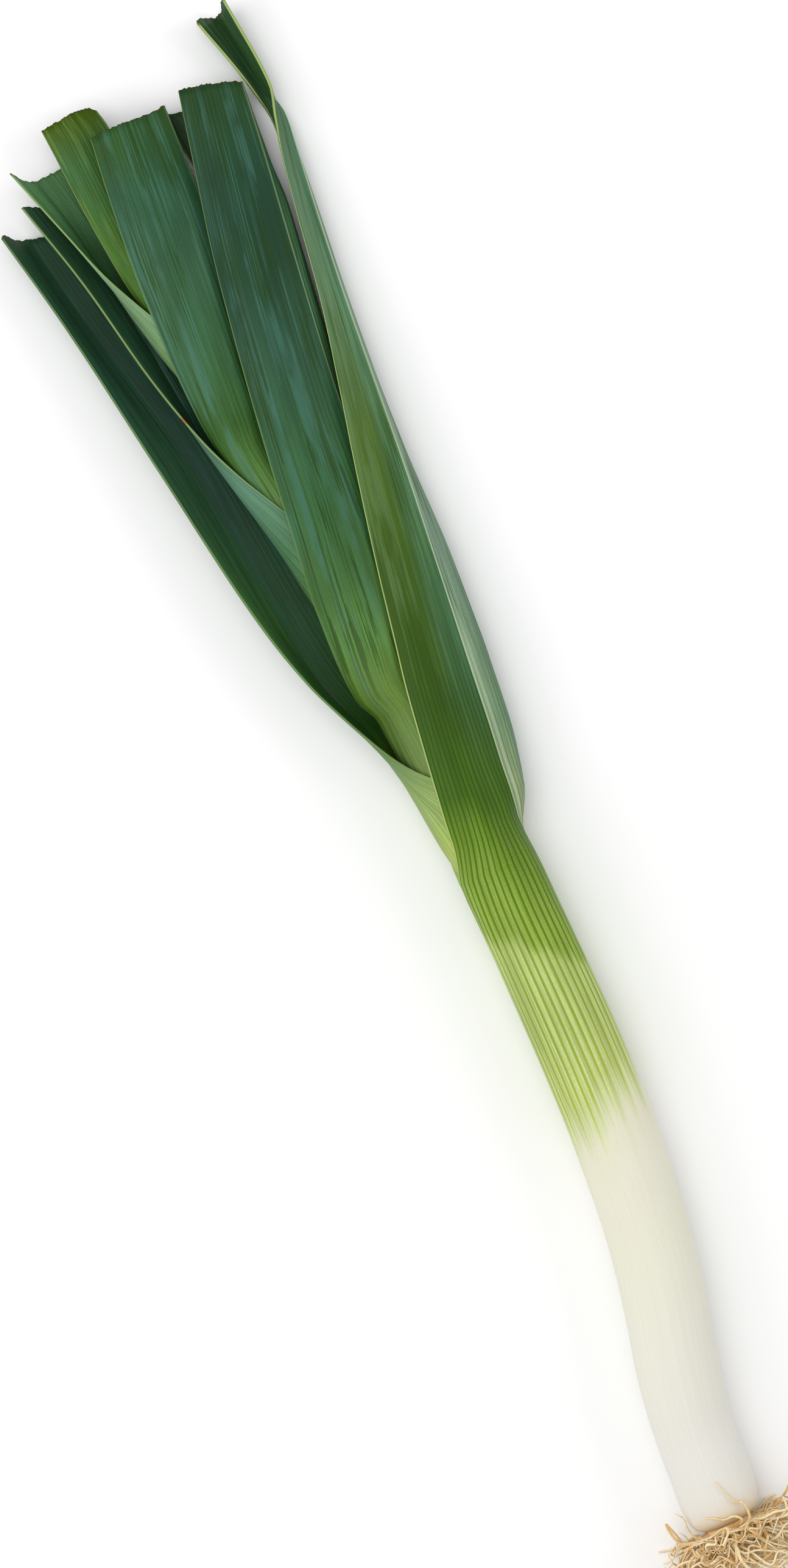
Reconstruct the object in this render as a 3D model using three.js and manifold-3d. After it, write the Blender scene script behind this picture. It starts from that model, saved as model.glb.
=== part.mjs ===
// A leek with its roots and its cut leaves, lying on its side.
// Units are millimetres. +X runs along the leek from the roots to the leaf tips, +Y is the side
// that leaf 2, leaf 4 and leaf 6 grow on, +Z is up, away from the surface that the leek lies on.
// The origin is the middle of the underside of the whole leek.
//
// Every leaf is a folded sheet. At each place x along the leek its cross-section runs from the
// front margin, which lies on top, over the keel and back under the bundle to the back margin.
// Low down the section is a ring round the bundle, the sheath. Above the throat it opens into a blade.
import * as THREE from 'three';
import { mergeVertices } from 'three/addons/utils/BufferGeometryUtils.js';
import Module from 'manifold-3d';

const wasm = await Module();
wasm.setup();

// Driving sizes
const SHEATH_TOP_RADIUS = 15.1;      // outside of the shank where the leaves leave it
const LEAF_PITCH = 1.6;              // step in radius from one sheath to the next one in
const SHEATH_CLEARANCE = 0.05;       // extra gap between the shank and the sheath inside it
const INNERMOST_RADIUS = 4.4;        // middle of the sheath wall of the innermost leaf
const LEAF_COUNT = 7;
const HALF_THICK = [0, 0.65, 0.55, 0.55, 0.5, 0.5, 0.45, 0.45];  // half of each leaf's wall, by leaf number
const MARGIN_THINNING = 0.3;         // share of the thickness that is gone at the margins
const AXIS_HEIGHT = 14.9;            // height of the bundle's axis over the surface
const SOCKET_X = 205;                // where the inner sheaths start, inside the mouth of the shank
const SOCKET_GAP = 1.2;              // space below their ends
const THROAT_X = 230;                // where the sheath of leaf 1 splits
const SLIT = 4;                      // half of the slit in an inner sheath, degrees
const REST_SNAP = 0.3;               // an underside lower than this is pressed flat on the surface
const REST_WALL = 0.7;               // thickness left there, least height of the upper face
const WING_CELLS = 7;                // facets from a margin to the keel
const OUTER_WING_CELLS = 9;          // the same on the shank and leaf 1
const CUT_ZONE = 24;                 // length over which the facets bend to follow a torn end
const LAST_STEP = 6;                 // least length of the last band of facets before a torn end
const OPENING_LENGTH = 90;           // length over which a blade opens out of its sheath
const TIP_LENGTH = 65;               // length before a torn end where sections stand close together
const MAX_TURN = 4.2;                // most that one wing's curve is taken to turn, radians
const SHANK_LOW_RADIUS = 14.5;       // the shank's axis is never lower than this, apart from its facets
const MERGE_DISTANCE = 1e-4;

// Root bunch
const PLATE_X = -13.3;               // face of the root plate, just clear of the shank's end
const PLATE_DEPTH = 5;
const PLATE_RADIUS = 8.6;
const PLATE_SIDES = 18;
const PLATE_Y = 3.2;
const PLATE_Z = 14.3;
const PLATE_PROFILE = [[0, 1], [0.45, 1], [0.8, 0.8], [1, 0.45]];  // shares of its depth and radius
const ROOT_COUNT = 46;
const ROOT_STEPS = 7;
const ROOT_STEP_LENGTH = 4.5;
const ROOT_SIDES = 3;
const ROOT_RADIUS = 0.95;
const ROOT_TIP_RADIUS = 0.5;
const ROOT_SEED = 14;
const ROOT_SPACING_PLAY = 0.8;       // share of the even spacing by which a root can be off its place
const ROOT_FOOT = [0.35, 0.8];       // least and most distance of a root's foot from the plate's middle
const ROOT_START_BACK = -0.6;        // how far a root points away from the shank where it starts
const ROOT_OUTWARD = 0.4;            // pull away from the plate's axis at each step
const ROOT_SWIRL = 0.5;              // most that a root is pulled round that axis at each step
const ROOT_CURL = 0.95;              // how far a root can turn aside at each step
const ROOT_LEAN = [0.35, -0.4];      // most that a root leans along the shank, and away from it
const ROOT_CLEAR_RADIUS = 18.5;      // closer to the shank's axis than this, a root stays behind its end
const ROOT_CLEAR_BACK = 1.8;
const ROOT_LIMIT = { back: -37, top: 40, left: 31, right: -27 };
const ROOT_LIFT = 0.1;               // least gap between a root and the surface

// Constants of the random draw
const DRAW_FACTOR = 16807;
const DRAW_MODULUS = 2147483647;

// Side position of the bundle's axis along its length: x, y
const BUNDLE_AXIS = [
  [200, -17.4], [230, -16.9], [240, -16.3], [250, -14.9], [260, -13.6], [272, -12.4], [285, -11.2],
  [300, -10.4], [320, -7.8], [350, -5], [400, 3], [440, 7.8], [480, 13],
];

// Shank from its root end: x, side position of its axis, radius
const SHANK = [
  [-13, 3.2, 9.4], [-11.4, 3.1, 12], [-8, 2.9, 13.6], [-3, 2.5, 14.5], [6, 1.9, 14.5], [20, 1.1, 14.5],
  [34, -0.8, 15], [50, -3.8, 15.4], [66, -7.6, 15.5], [82, -10.8, 15.4], [100, -13.6, 15.3],
  [120, -15.6, 15.5], [145, -17.1, 15.5], [175, -17.6, 15.5], [204, -17.4, 15.2],
];

// Places along the bundle where a section is made. Sheaths that are still closed skip most of them.
const STATIONS = [
  205, 218, 230, 240, 245, 250, 253, 256, 262, 268, 275, 282, 290, 302, 312, 325, 338, 350, 362, 375,
  388, 400, 410, 420, 430, 440, 450, 460, 470, 480, 490, 500, 510, 520, 530, 540, 550,
];
const SHEATH_STATIONS = [205, 230, 250, 275, 302, 325, 350, 375, 400, 425];

// Smooth curve through values given at increasing places, which never swings past them
function smoothTable(places, values) {
  const last = places.length - 1;
  const rise = [];
  for (let i = 0; i < last; i += 1) {
    rise.push((values[i + 1] - values[i]) / (places[i + 1] - places[i]));
  }
  const slope = [rise[0]];
  for (let i = 1; i < last; i += 1) {
    const before = places[i] - places[i - 1];
    const after = places[i + 1] - places[i];
    const weightBefore = 2 * after + before;
    const weightAfter = after + 2 * before;
    const same = rise[i - 1] * rise[i] > 0;
    slope.push(same
      ? (weightBefore + weightAfter) / (weightBefore / rise[i - 1] + weightAfter / rise[i])
      : 0);
  }
  slope.push(rise[last - 1]);
  return (x) => {
    let i = 0;
    while (i < last - 1 && x >= places[i + 1]) {
      i += 1;
    }
    const width = places[i + 1] - places[i];
    const t = (x - places[i]) / width;
    const s = 1 - t;
    return (1 + 2 * t) * s * s * values[i] + t * s * s * width * slope[i]
      + t * t * (3 - 2 * t) * values[i + 1] - t * t * s * width * slope[i + 1];
  };
}

const axisY = smoothTable(BUNDLE_AXIS.map((point) => point[0]), BUNDLE_AXIS.map((point) => point[1]));

// Odd leaves grow on the -Y side, even ones on the +Y side
function leafSide(number) {
  return number % 2 === 1 ? 1 : -1;
}

// Middle of the wall of a leaf's sheath
function sheathRadius(number) {
  if (number === LEAF_COUNT) {
    return INNERMOST_RADIUS;
  }
  const clearance = number > 1 ? SHEATH_CLEARANCE : 0;
  return SHEATH_TOP_RADIUS - HALF_THICK[1] - LEAF_PITCH * (number - 1) - clearance;
}

// A row holds x, then the front margin's y, z and heading, the keel's y, z, heading in and heading
// out, and the back margin's y, z and heading. Headings are degrees: 0 is +Y, 90 is +Z.
function row(x, front, keel, back) {
  return [x, ...front, ...keel, ...back];
}

// A section that is a ring round y and z, open by the slit on the side that faces the keel
function circleRow(x, y, z, radius, slit, side) {
  const angle = THREE.MathUtils.degToRad(slit);
  const margin = y + side * radius * Math.cos(angle);
  const lift = radius * Math.sin(angle);
  const halfway = 90 + side * 180;
  const front = [margin, z + lift, 90 + side * slit];
  const back = [margin, z - lift, 90 + side * (360 - slit)];
  return row(x, front, [y - side * radius, z, halfway, halfway], back);
}

function sheathRow(number, x, slit = SLIT) {
  return circleRow(x, axisY(x), AXIS_HEIGHT, sheathRadius(number), slit, leafSide(number));
}

function sheathRows(number, closedTo) {
  return STATIONS.filter((x) => x <= closedTo).map((x) => sheathRow(number, x));
}

function shankRows() {
  return SHANK.map(([x, y, radius]) => {
    const height = Math.max(radius, SHANK_LOW_RADIUS) * Math.cos(Math.PI / (2 * OUTER_WING_CELLS));
    return circleRow(x, y, height, radius - HALF_THICK[1], 0, 1);
  });
}

// The leaves from the outermost in, with the torn end of each blade as pairs of a place across the
// leaf, from -1 at the front margin over 0 at the keel to 1 at the back margin, and the x there
const LEAVES = [
  {
    number: 1,
    closedTo: THROAT_X,
    rows: [
      ...shankRows(),
      sheathRow(1, 218, 0), sheathRow(1, THROAT_X, 0), sheathRow(1, 236, 8),
      row(240, [-3.2, 21, 115], [-30.75, 14.9, 270, 270], [-2.3, 11.4, 436]),
      row(245, [-4.3, 23.9, 130], [-30.4, 15.2, 268, 262], [-2.5, 6.2, 418]),
      row(250, [-5.3, 25.7, 138], [-30.4, 18.4, 262, 238], [-6, 1.8, 388]),
      row(255, [-5.7, 26.6, 143], [-31.2, 19.4, 248, 214], [-12.5, 0.3, 361]),
      row(260, [-6.2, 27.4, 149], [-32, 20, 235, 200], [-20, 0.4, 360]),
      row(270, [-7.4, 28.4, 157], [-33, 20.5, 225, 195], [-28, 0.6, 360]),
      row(285, [-9.4, 28.4, 160], [-34.8, 21, 215, 195], [-32, 0.65, 360]),
      row(310, [-13, 28.2, 162], [-37.4, 21, 205, 195], [-34, 0.65, 360]),
      row(325, [-15.8, 26.6, 166], [-39, 20.2, 204, 197], [-36, 0.65, 356]),
      row(350, [-20.4, 23.6, 172], [-41.6, 18.5, 203, 200], [-38.5, 0.65, 350]),
      row(390, [-28.7, 20.5, 176], [-45.4, 16, 200, 230], [-40, 0.65, 345]),
      row(418, [-35, 18, 180], [-47.6, 14.5, 198, 240], [-42, 0.65, 340]),
      row(450, [-41.7, 15.5, 185], [-50.2, 12, 198, 240], [-45.5, 0.65, 340]),
      row(490, [-48, 12.5, 190], [-54.4, 9.5, 200, 245], [-50, 0.75, 335]),
      row(505, [-50.7, 12, 200], [-56, 7.8, 212, 258], [-51.5, 0.9, 345]),
      row(518, [-54, 12, 240], [-57, 5.2, 250, 310], [-52.6, 2.2, 385]),
      row(530, [-57, 10, 275], [-54.5, 1.6, 285, 380], [-50.5, 7, 420]),
      row(564, [-54, 12, 285], [-48.5, 1.6, 300, 395], [-40.8, 12, 425]),
    ],
    end: [[-1, 564], [-0.85, 564], [-0.5, 560.5], [0, 560], [0.4, 561.2], [0.8, 561.5], [1, 559.5]],
  },
  {
    number: 2,
    closedTo: 240,
    rows: [
      ...sheathRows(2, 240),
      row(250, [-28, 17.4, 79], [-1.8, 14.8, -90, -90], [-28, 12.4, -259]),
      row(262, [-24.5, 22.6, 55], [-0.5, 14.8, -90, -90], [-24.5, 7.2, -235]),
      row(270, [-15.9, 27.3, 15], [0.2, 14.4, -90, -90], [-21.3, 4.7, -220]),
      row(273, [-12.1, 27.9, -2], [0.6, 14, -91, -92], [-19.8, 4.6, -216]),
      row(276, [-8.2, 27.2, -18], [0.9, 13.6, -92, -95], [-18.9, 4.1, -212]),
      row(285, [-0.3, 24.8, -42], [2.6, 11.5, -92, -105], [-16.8, 3.2, -205]),
      row(300, [8.1, 21.6, -85], [6.2, 5.5, -105, -152], [-15, 2.6, -196]),
      row(312, [13.6, 21, -90], [11.2, 3.2, -110, -168], [-14, 2, -187]),
      row(323, [18.1, 20.5, -92], [15, 1.7, -112, -177], [-13, 1.5, -183]),
      row(350, [25.5, 20, -103], [19.5, 1.2, -130, -179], [-10, 1.5, -182]),
      row(418, [36.7, 18, -113], [26.5, 0.8, -135, -179], [-2, 1.5, -182]),
      row(480, [46.6, 15, -120], [40, 0.8, -138, -178], [12, 1.5, -181]),
      row(519, [54.6, 12.5, -125], [46.8, 0.8, -142, -178], [22, 1.5, -181]),
    ],
    end: [[-1, 517.3], [-0.9, 518.5], [-0.6, 516], [-0.3, 514.6], [0, 514.3], [0.2, 513.2], [0.35, 514.5],
      [1, 514]],
  },
  {
    number: 3,
    closedTo: 290,
    rows: [
      ...sheathRows(3, 290),
      sheathRow(3, 302, 8),
      row(312, [5, 17.5, 102], [-22, 14.8, 258, 278], [2.3, 10.2, 428]),
      row(325, [5.9, 20.2, 118], [-25.5, 14.7, 240, 284], [0.5, 5.5, 396]),
      row(333, [5.8, 21.2, 124], [-27, 14.5, 235, 278], [-3, 4.1, 380]),
      row(340, [5.5, 22.2, 130], [-28, 14.4, 230, 274], [-7, 3.9, 368]),
      row(350, [5, 23, 136], [-29.2, 14.4, 226, 266], [-10, 3.8, 362]),
      row(365, [3.4, 24.6, 146], [-30.2, 14.4, 223, 256], [-14, 3.6, 358]),
      row(380, [1.6, 26.3, 158], [-31, 14.4, 220, 248], [-17, 3.4, 356]),
      row(395, [-0.1, 25.8, 162], [-31.8, 14.4, 218, 236], [-19, 3.2, 356]),
      row(410, [-2, 24.4, 163], [-32.7, 14.5, 216, 225], [-20, 3, 356]),
      row(450, [-7.7, 21.7, 170], [-37.1, 14.3, 212, 202], [-22, 2.8, 356]),
      row(485, [-13.7, 18.6, 174], [-41.6, 13.4, 209, 206], [-21.5, 2.7, 356]),
      row(505, [-18, 17.2, 176], [-44.2, 12.4, 207, 235], [-20.5, 2.6, 356]),
      row(541, [-25.8, 14.6, 178], [-48.4, 10.5, 204, 262], [-16.5, 2.5, 356]),
    ],
    end: [[-1, 540.3], [-0.75, 539.4], [-0.4, 537.4], [-0.2, 536], [0, 534.3], [0.3, 533], [0.7, 532],
      [1, 536]],
  },
  {
    number: 4,
    closedTo: 338,
    rows: [
      ...sheathRows(4, 338),
      sheathRow(4, 345, 8),
      row(352, [-14.1, 17.5, 72], [5, 14.9, -90, -90], [-14.1, 12.3, -255]),
      row(358, [-12.2, 19.8, 61], [6.1, 14.4, -93, -93], [-12.5, 9.8, -241]),
      row(365, [-10, 21.3, 50], [7.1, 13.8, -98, -98], [-10.2, 8.5, -228]),
      row(375, [-4.4, 24, 22], [8.6, 12.6, -104, -104], [-7.6, 7.2, -216]),
      row(383, [0, 24.6, 2], [10.2, 11.8, -104, -110], [-5.8, 6.6, -210]),
      row(390, [3.8, 24.4, -14], [11.7, 10.8, -104, -116], [-4.2, 6.1, -205]),
      row(405, [11.6, 22.4, -46], [15, 8.8, -104, -134], [-2.2, 5.3, -199]),
      row(420, [17.8, 20.4, -80], [17.8, 7, -108, -152], [-0.6, 4.7, -195]),
      row(447, [25.5, 18.4, -100], [20.8, 4.4, -115, -172], [2, 3.8, -188]),
      row(490, [34.1, 16, -112], [26.5, 3.2, -130, -177], [8, 3.4, -184]),
      row(525, [43.3, 13.8, -120], [33.5, 3, -140, -178], [14, 3.3, -182]),
    ],
    end: [[-1, 524.5], [-0.7, 524], [-0.4, 522.3], [0, 522], [1, 521]],
  },
  {
    number: 5,
    closedTo: 388,
    rows: [
      ...sheathRows(5, 388),
      sheathRow(5, 396, 10),
      row(410, [13.2, 17.2, 105], [-4.8, 14.8, 258, 275], [11.8, 12.1, 432]),
      row(420, [14.9, 18.3, 117], [-7.2, 14.6, 243, 280], [10.5, 8.8, 408]),
      row(430, [15.9, 19.4, 128], [-9.4, 14.4, 232, 280], [8.2, 7.3, 388]),
      row(450, [16.5, 21, 142], [-12.2, 13.8, 223, 268], [2.6, 6, 366]),
      row(470, [16.1, 21.6, 148], [-14.4, 13.2, 219, 262], [-1, 5.6, 362]),
      row(480, [15.8, 21.2, 150], [-15.4, 12.8, 218, 258], [-3, 5.4, 362]),
      row(510, [13.4, 19.2, 158], [-17.4, 12, 215, 255], [-7, 5, 360]),
      row(538, [10.2, 18, 162], [-18.3, 11.5, 212, 252], [-9, 4.7, 360]),
    ],
    end: [[-1, 537], [-0.6, 537.2], [-0.25, 536.7], [0, 537.8], [0.5, 536], [1, 536]],
  },
  {
    number: 6,
    closedTo: 420,
    rows: [
      ...sheathRows(6, 420),
      sheathRow(6, 436, 10),
      row(446, [3, 17.6, 68], [16.2, 14.6, -90, -92], [3.4, 11.4, -248]),
      row(453, [7, 20.7, 36], [18.2, 13.8, -90, -96], [4.8, 9.8, -232]),
      row(460, [11, 21.2, 4], [19.8, 12.6, -92, -100], [6.4, 8.8, -215]),
      row(475, [19.2, 19.8, -34], [23, 10.6, -95, -112], [9, 7.6, -205]),
      row(490, [26.2, 18.6, -66], [25.8, 8.8, -100, -135], [11.4, 6.8, -199]),
      row(510, [33, 17.4, -94], [29.4, 7, -110, -160], [14.6, 6.2, -192]),
      row(538, [42.1, 15.4, -108], [36.4, 6, -125, -172], [20, 5.8, -186]),
    ],
    end: [[-1, 537.5], [-0.7, 534], [-0.35, 532], [0, 531.8], [0.5, 532.5], [1, 532]],
  },
  {
    number: 7,
    closedTo: 440,
    rows: [
      ...sheathRows(7, 440),
      sheathRow(7, 446, 6), sheathRow(7, 455, 12),
      row(470, [16.9, 16, 112], [6.6, 14.4, 258, 270], [14.8, 12, 424]),
      row(480, [19.4, 16.2, 134], [5.2, 13.8, 242, 274], [14.4, 10.6, 402]),
      row(500, [22, 15.8, 154], [3.8, 12.4, 222, 268], [12, 9.4, 378]),
      row(520, [23.7, 15, 162], [3.2, 11.4, 212, 260], [10.2, 8.6, 368]),
      row(538, [24.8, 14.4, 164.5], [3.3, 10.8, 209.5, 257.5], [10.3, 8.35, 364.5]),
      row(549, [25.6, 14, 166], [5.6, 10.4, 208, 256], [10.8, 8.2, 362]),
    ],
    end: [[-1, 547], [-0.7, 547.8], [-0.3, 548.4], [-0.06, 548.2], [0, 546], [0.3, 543], [1, 541]],
  },
];

// The share of the leaf's thickness left at a place across it
function thinning(across) {
  return 1 - MARGIN_THINNING * across * across;
}

// Points of one wing of a section from its first end to its second, ends included
function wingPoints(from, headingFrom, to, headingTo, cells) {
  const turn = THREE.MathUtils.degToRad(Math.abs(headingTo - headingFrom));
  const handle = from.distanceTo(to) / (3 * Math.cos(Math.min(turn, MAX_TURN) / 4) ** 2);
  const out = THREE.MathUtils.degToRad(headingFrom);
  const into = THREE.MathUtils.degToRad(headingTo);
  const curve = new THREE.CubicBezierCurve(
    from,
    new THREE.Vector2(from.x + handle * Math.cos(out), from.y + handle * Math.sin(out)),
    new THREE.Vector2(to.x - handle * Math.cos(into), to.y - handle * Math.sin(into)),
    to,
  );
  return curve.getPoints(cells);
}

// A leaf's middle surface at x: points from the front margin over the keel to the back margin
function leafSections(leaf) {
  const places = leaf.rows.map((entry) => entry[0]);
  const curves = leaf.rows[0].slice(1).map((_, column) =>
    smoothTable(places, leaf.rows.map((entry) => entry[column + 1])));
  return (x, cells) => {
    const [fy, fz, fh, ky, kz, kIn, kOut, by, bz, bh] = curves.map((curve) => curve(x));
    const keel = new THREE.Vector2(ky, kz);
    const front = wingPoints(new THREE.Vector2(fy, fz), fh, keel, kIn, cells);
    const back = wingPoints(keel, kOut, new THREE.Vector2(by, bz), bh, cells);
    return [...front, ...back.slice(1)];
  };
}

// Outward direction of a section at each of its points; a closed ring runs on round its seam
function sectionNormals(points, side, closed) {
  const last = points.length - 1;
  return points.map((_, i) => {
    const before = i > 0 ? points[i - 1] : points[closed ? last - 1 : 0];
    const after = i < last ? points[i + 1] : points[closed ? 1 : last];
    const along = after.clone().sub(before).normalize();
    return new THREE.Vector2(side * along.y, -side * along.x);
  });
}

function tornEnd(leaf) {
  const across = leaf.end.map((pair) => pair[0]);
  return (place) => {
    let i = 0;
    while (i < across.length - 2 && place > across[i + 1]) {
      i += 1;
    }
    const t = (place - across[i]) / (across[i + 1] - across[i]);
    return THREE.MathUtils.lerp(leaf.end[i][1], leaf.end[i + 1][1], t);
  };
}

function topOf(leaf) {
  return Math.max(...leaf.end.map((pair) => pair[1]));
}

// Both faces of a leaf as grids of points, one line of points for each station
function leafGrid(leaf, stations, cells) {
  const sectionAt = leafSections(leaf);
  const endAt = tornEnd(leaf);
  const top = topOf(leaf);
  const side = leafSide(leaf.number);
  const half = HALF_THICK[leaf.number];
  return stations.map((station) => {
    const closed = leaf.number === 1 && station <= THROAT_X;
    const outer = [];
    const inner = [];
    for (let i = 0; i <= 2 * cells; i += 1) {
      const across = i / cells - 1;
      const bend = THREE.MathUtils.smoothstep(station, top - CUT_ZONE, top);
      const x = station + (endAt(across) - top) * bend;
      const points = sectionAt(x, cells);
      const normal = sectionNormals(points, side, closed)[i];
      const wall = half * (closed ? 1 : thinning(across));
      outer.push(new THREE.Vector3(x, points[i].x + wall * normal.x, points[i].y + wall * normal.y));
      inner.push(new THREE.Vector3(x, points[i].x - wall * normal.x, points[i].y - wall * normal.y));
    }
    outer.filter((point) => point.z < REST_SNAP).forEach((point) => point.setZ(0));
    inner.filter((point) => point.z < REST_WALL).forEach((point) => point.setZ(REST_WALL));
    return { outer, inner };
  });
}

// Collects triangles and gives one closed geometry with shared corners
class Skin {
  corners = [];

  triangle(...points) {
    for (const point of points) {
      this.corners.push(point.x, point.y, point.z);
    }
  }

  // A band of facets between two lines of points
  strip(lineA, lineB) {
    for (let i = 0; i < lineA.length - 1; i += 1) {
      this.triangle(lineA[i], lineB[i + 1], lineB[i]);
      this.triangle(lineA[i], lineA[i + 1], lineB[i + 1]);
    }
  }

  // A fan of facets from the middle of a closed line
  cap(line) {
    const ring = line.slice(1);
    const middle = ring.reduce((sum, point) => sum.add(point), new THREE.Vector3()).divideScalar(ring.length);
    for (let i = 0; i < line.length - 1; i += 1) {
      this.triangle(middle, line[i + 1], line[i]);
    }
  }

  // The two faces of a wall between its stations
  faces(grid) {
    for (let i = 0; i < grid.length - 1; i += 1) {
      this.strip(grid[i].outer, grid[i + 1].outer);
      this.strip(grid[i + 1].inner, grid[i].inner);
    }
  }

  // The narrow edges of a wall along its front and back margins
  margins(grid) {
    const last = grid[0].outer.length - 1;
    this.strip(grid.map((line) => line.outer[0]), grid.map((line) => line.inner[0]));
    this.strip(grid.map((line) => line.inner[last]), grid.map((line) => line.outer[last]));
  }

  geometry(mirrored) {
    const loose = new THREE.BufferGeometry();
    loose.setAttribute('position', new THREE.Float32BufferAttribute(this.corners, 3));
    const merged = mergeVertices(loose, MERGE_DISTANCE);
    if (mirrored) {
      merged.setIndex(Array.from(merged.index.array).reverse());
    }
    return merged;
  }
}

// Places where an open blade has a section: every other station where it runs on evenly
function openStations(leaf) {
  const top = topOf(leaf);
  const even = (x) => x > leaf.closedTo + OPENING_LENGTH && x < top - TIP_LENGTH;
  return STATIONS.filter((x, i) => x >= leaf.closedTo && x < top - LAST_STEP && (i % 2 === 0 || !even(x)));
}

// Leaves 2 to 7: a wall from its sheath's lower end, inside the shank, to its torn end
function leafGeometry(leaf) {
  const top = topOf(leaf);
  const closedPart = SHEATH_STATIONS.filter((x) => x < leaf.closedTo);
  const grid = leafGrid(leaf, [...closedPart, ...openStations(leaf), top], WING_CELLS);
  const lowest = grid[0];
  const highest = grid[grid.length - 1];
  const skin = new Skin();
  skin.faces(grid);
  skin.margins(grid);
  skin.strip(lowest.inner, lowest.outer);
  skin.strip(highest.outer, highest.inner);
  return skin.geometry(leafSide(leaf.number) < 0);
}

// The shank is solid up to the mouth that holds the other sheaths. Past the throat its wall is leaf 1.
function shankGeometry(leaf) {
  const top = topOf(leaf);
  const solidPart = SHANK.map((entry) => entry[0]);
  const tubePart = STATIONS.filter((x) => x <= THROAT_X);
  const skin = new Skin();
  const shank = leafGrid(leaf, [...solidPart, ...tubePart.slice(1)], OUTER_WING_CELLS);
  for (let i = 0; i < shank.length - 1; i += 1) {
    skin.strip(shank[i].outer, shank[i + 1].outer);
  }
  skin.cap(shank[0].outer);
  const mouth = leafGrid(leaf, [SOCKET_X - SOCKET_GAP, ...tubePart.slice(1)], OUTER_WING_CELLS);
  for (let i = 0; i < mouth.length - 1; i += 1) {
    skin.strip(mouth[i + 1].inner, mouth[i].inner);
  }
  skin.cap([...mouth[0].inner].reverse());
  const blade = leafGrid(leaf, [...openStations(leaf), top], OUTER_WING_CELLS);
  skin.faces(blade);
  skin.margins(blade);
  skin.strip(blade[blade.length - 1].outer, blade[blade.length - 1].inner);
  return skin.geometry(false);
}

// Even, repeatable numbers between 0 and 1
function seededRandom(seed) {
  let state = seed;
  return () => {
    state = (state * DRAW_FACTOR) % DRAW_MODULUS;
    return state / DRAW_MODULUS;
  };
}

// One curly root: it leaves the plate, turns outward and wanders, over the surface and clear of the shank
function rootPath(random, angle) {
  const between = (low, high) => THREE.MathUtils.lerp(low, high, random());
  const swirl = between(-ROOT_SWIRL, ROOT_SWIRL);
  const lean = between(...ROOT_LEAN);
  const outward = new THREE.Vector3(0, Math.cos(angle), Math.sin(angle));
  const heading = new THREE.Vector3(ROOT_START_BACK, outward.y, outward.z);
  const start = outward.clone().multiplyScalar(PLATE_RADIUS * between(...ROOT_FOOT));
  const points = [start.add(new THREE.Vector3(PLATE_X - PLATE_DEPTH / 2, PLATE_Y, PLATE_Z))];
  for (let i = 0; i < ROOT_STEPS; i += 1) {
    const from = points[i];
    outward.set(0, from.y - PLATE_Y, from.z - PLATE_Z).normalize();
    heading.addScaledVector(outward, ROOT_OUTWARD);
    heading.addScaledVector(new THREE.Vector3(0, -outward.z, outward.y), swirl);
    heading.x += lean + between(-ROOT_CURL, ROOT_CURL);
    heading.y += between(-ROOT_CURL, ROOT_CURL);
    heading.z += between(-ROOT_CURL, ROOT_CURL);
    heading.normalize();
    const to = from.clone().addScaledVector(heading, ROOT_STEP_LENGTH);
    if (Math.hypot(to.y - PLATE_Y, to.z - PLATE_Z) < ROOT_CLEAR_RADIUS) {
      to.x = Math.min(to.x, PLATE_X - ROOT_CLEAR_BACK);
    }
    to.x = Math.max(to.x, ROOT_LIMIT.back);
    to.y = THREE.MathUtils.clamp(to.y, ROOT_LIMIT.right, ROOT_LIMIT.left);
    to.z = THREE.MathUtils.clamp(to.z, ROOT_RADIUS + ROOT_LIFT, ROOT_LIMIT.top);
    points.push(to);
  }
  return points;
}

// A thin tapering tube with flat ends through the given points
function rootGeometry(points) {
  const across = new THREE.Vector3(0, 0, 1);
  const lines = points.map((point, i) => {
    const before = points[Math.max(i - 1, 0)];
    const after = points[Math.min(i + 1, points.length - 1)];
    const along = after.clone().sub(before).normalize();
    across.addScaledVector(along, -across.dot(along)).normalize();
    const up = along.clone().cross(across);
    const radius = THREE.MathUtils.lerp(ROOT_RADIUS, ROOT_TIP_RADIUS, i / (points.length - 1));
    const ring = [];
    for (let corner = 0; corner < ROOT_SIDES; corner += 1) {
      const turn = (2 * Math.PI * corner) / ROOT_SIDES;
      ring.push(point.clone()
        .addScaledVector(across, radius * Math.cos(turn))
        .addScaledVector(up, radius * Math.sin(turn)));
    }
    return [...ring, ring[0]];
  });
  const skin = new Skin();
  for (let i = 0; i < lines.length - 1; i += 1) {
    skin.strip(lines[i], lines[i + 1]);
  }
  skin.cap(lines[0]);
  skin.cap([...lines[lines.length - 1]].reverse());
  return skin.geometry(false);
}

function toSolid(geometry) {
  return new wasm.Manifold(new wasm.Mesh({
    numProp: 3,
    vertProperties: geometry.attributes.position.array,
    triVerts: new Uint32Array(geometry.index.array),
  }));
}

function fromSolid(solid) {
  const mesh = solid.getMesh();
  const geometry = new THREE.BufferGeometry();
  geometry.setAttribute('position', new THREE.Float32BufferAttribute(mesh.vertProperties, 3));
  geometry.setIndex(Array.from(mesh.triVerts));
  return geometry;
}

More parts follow.
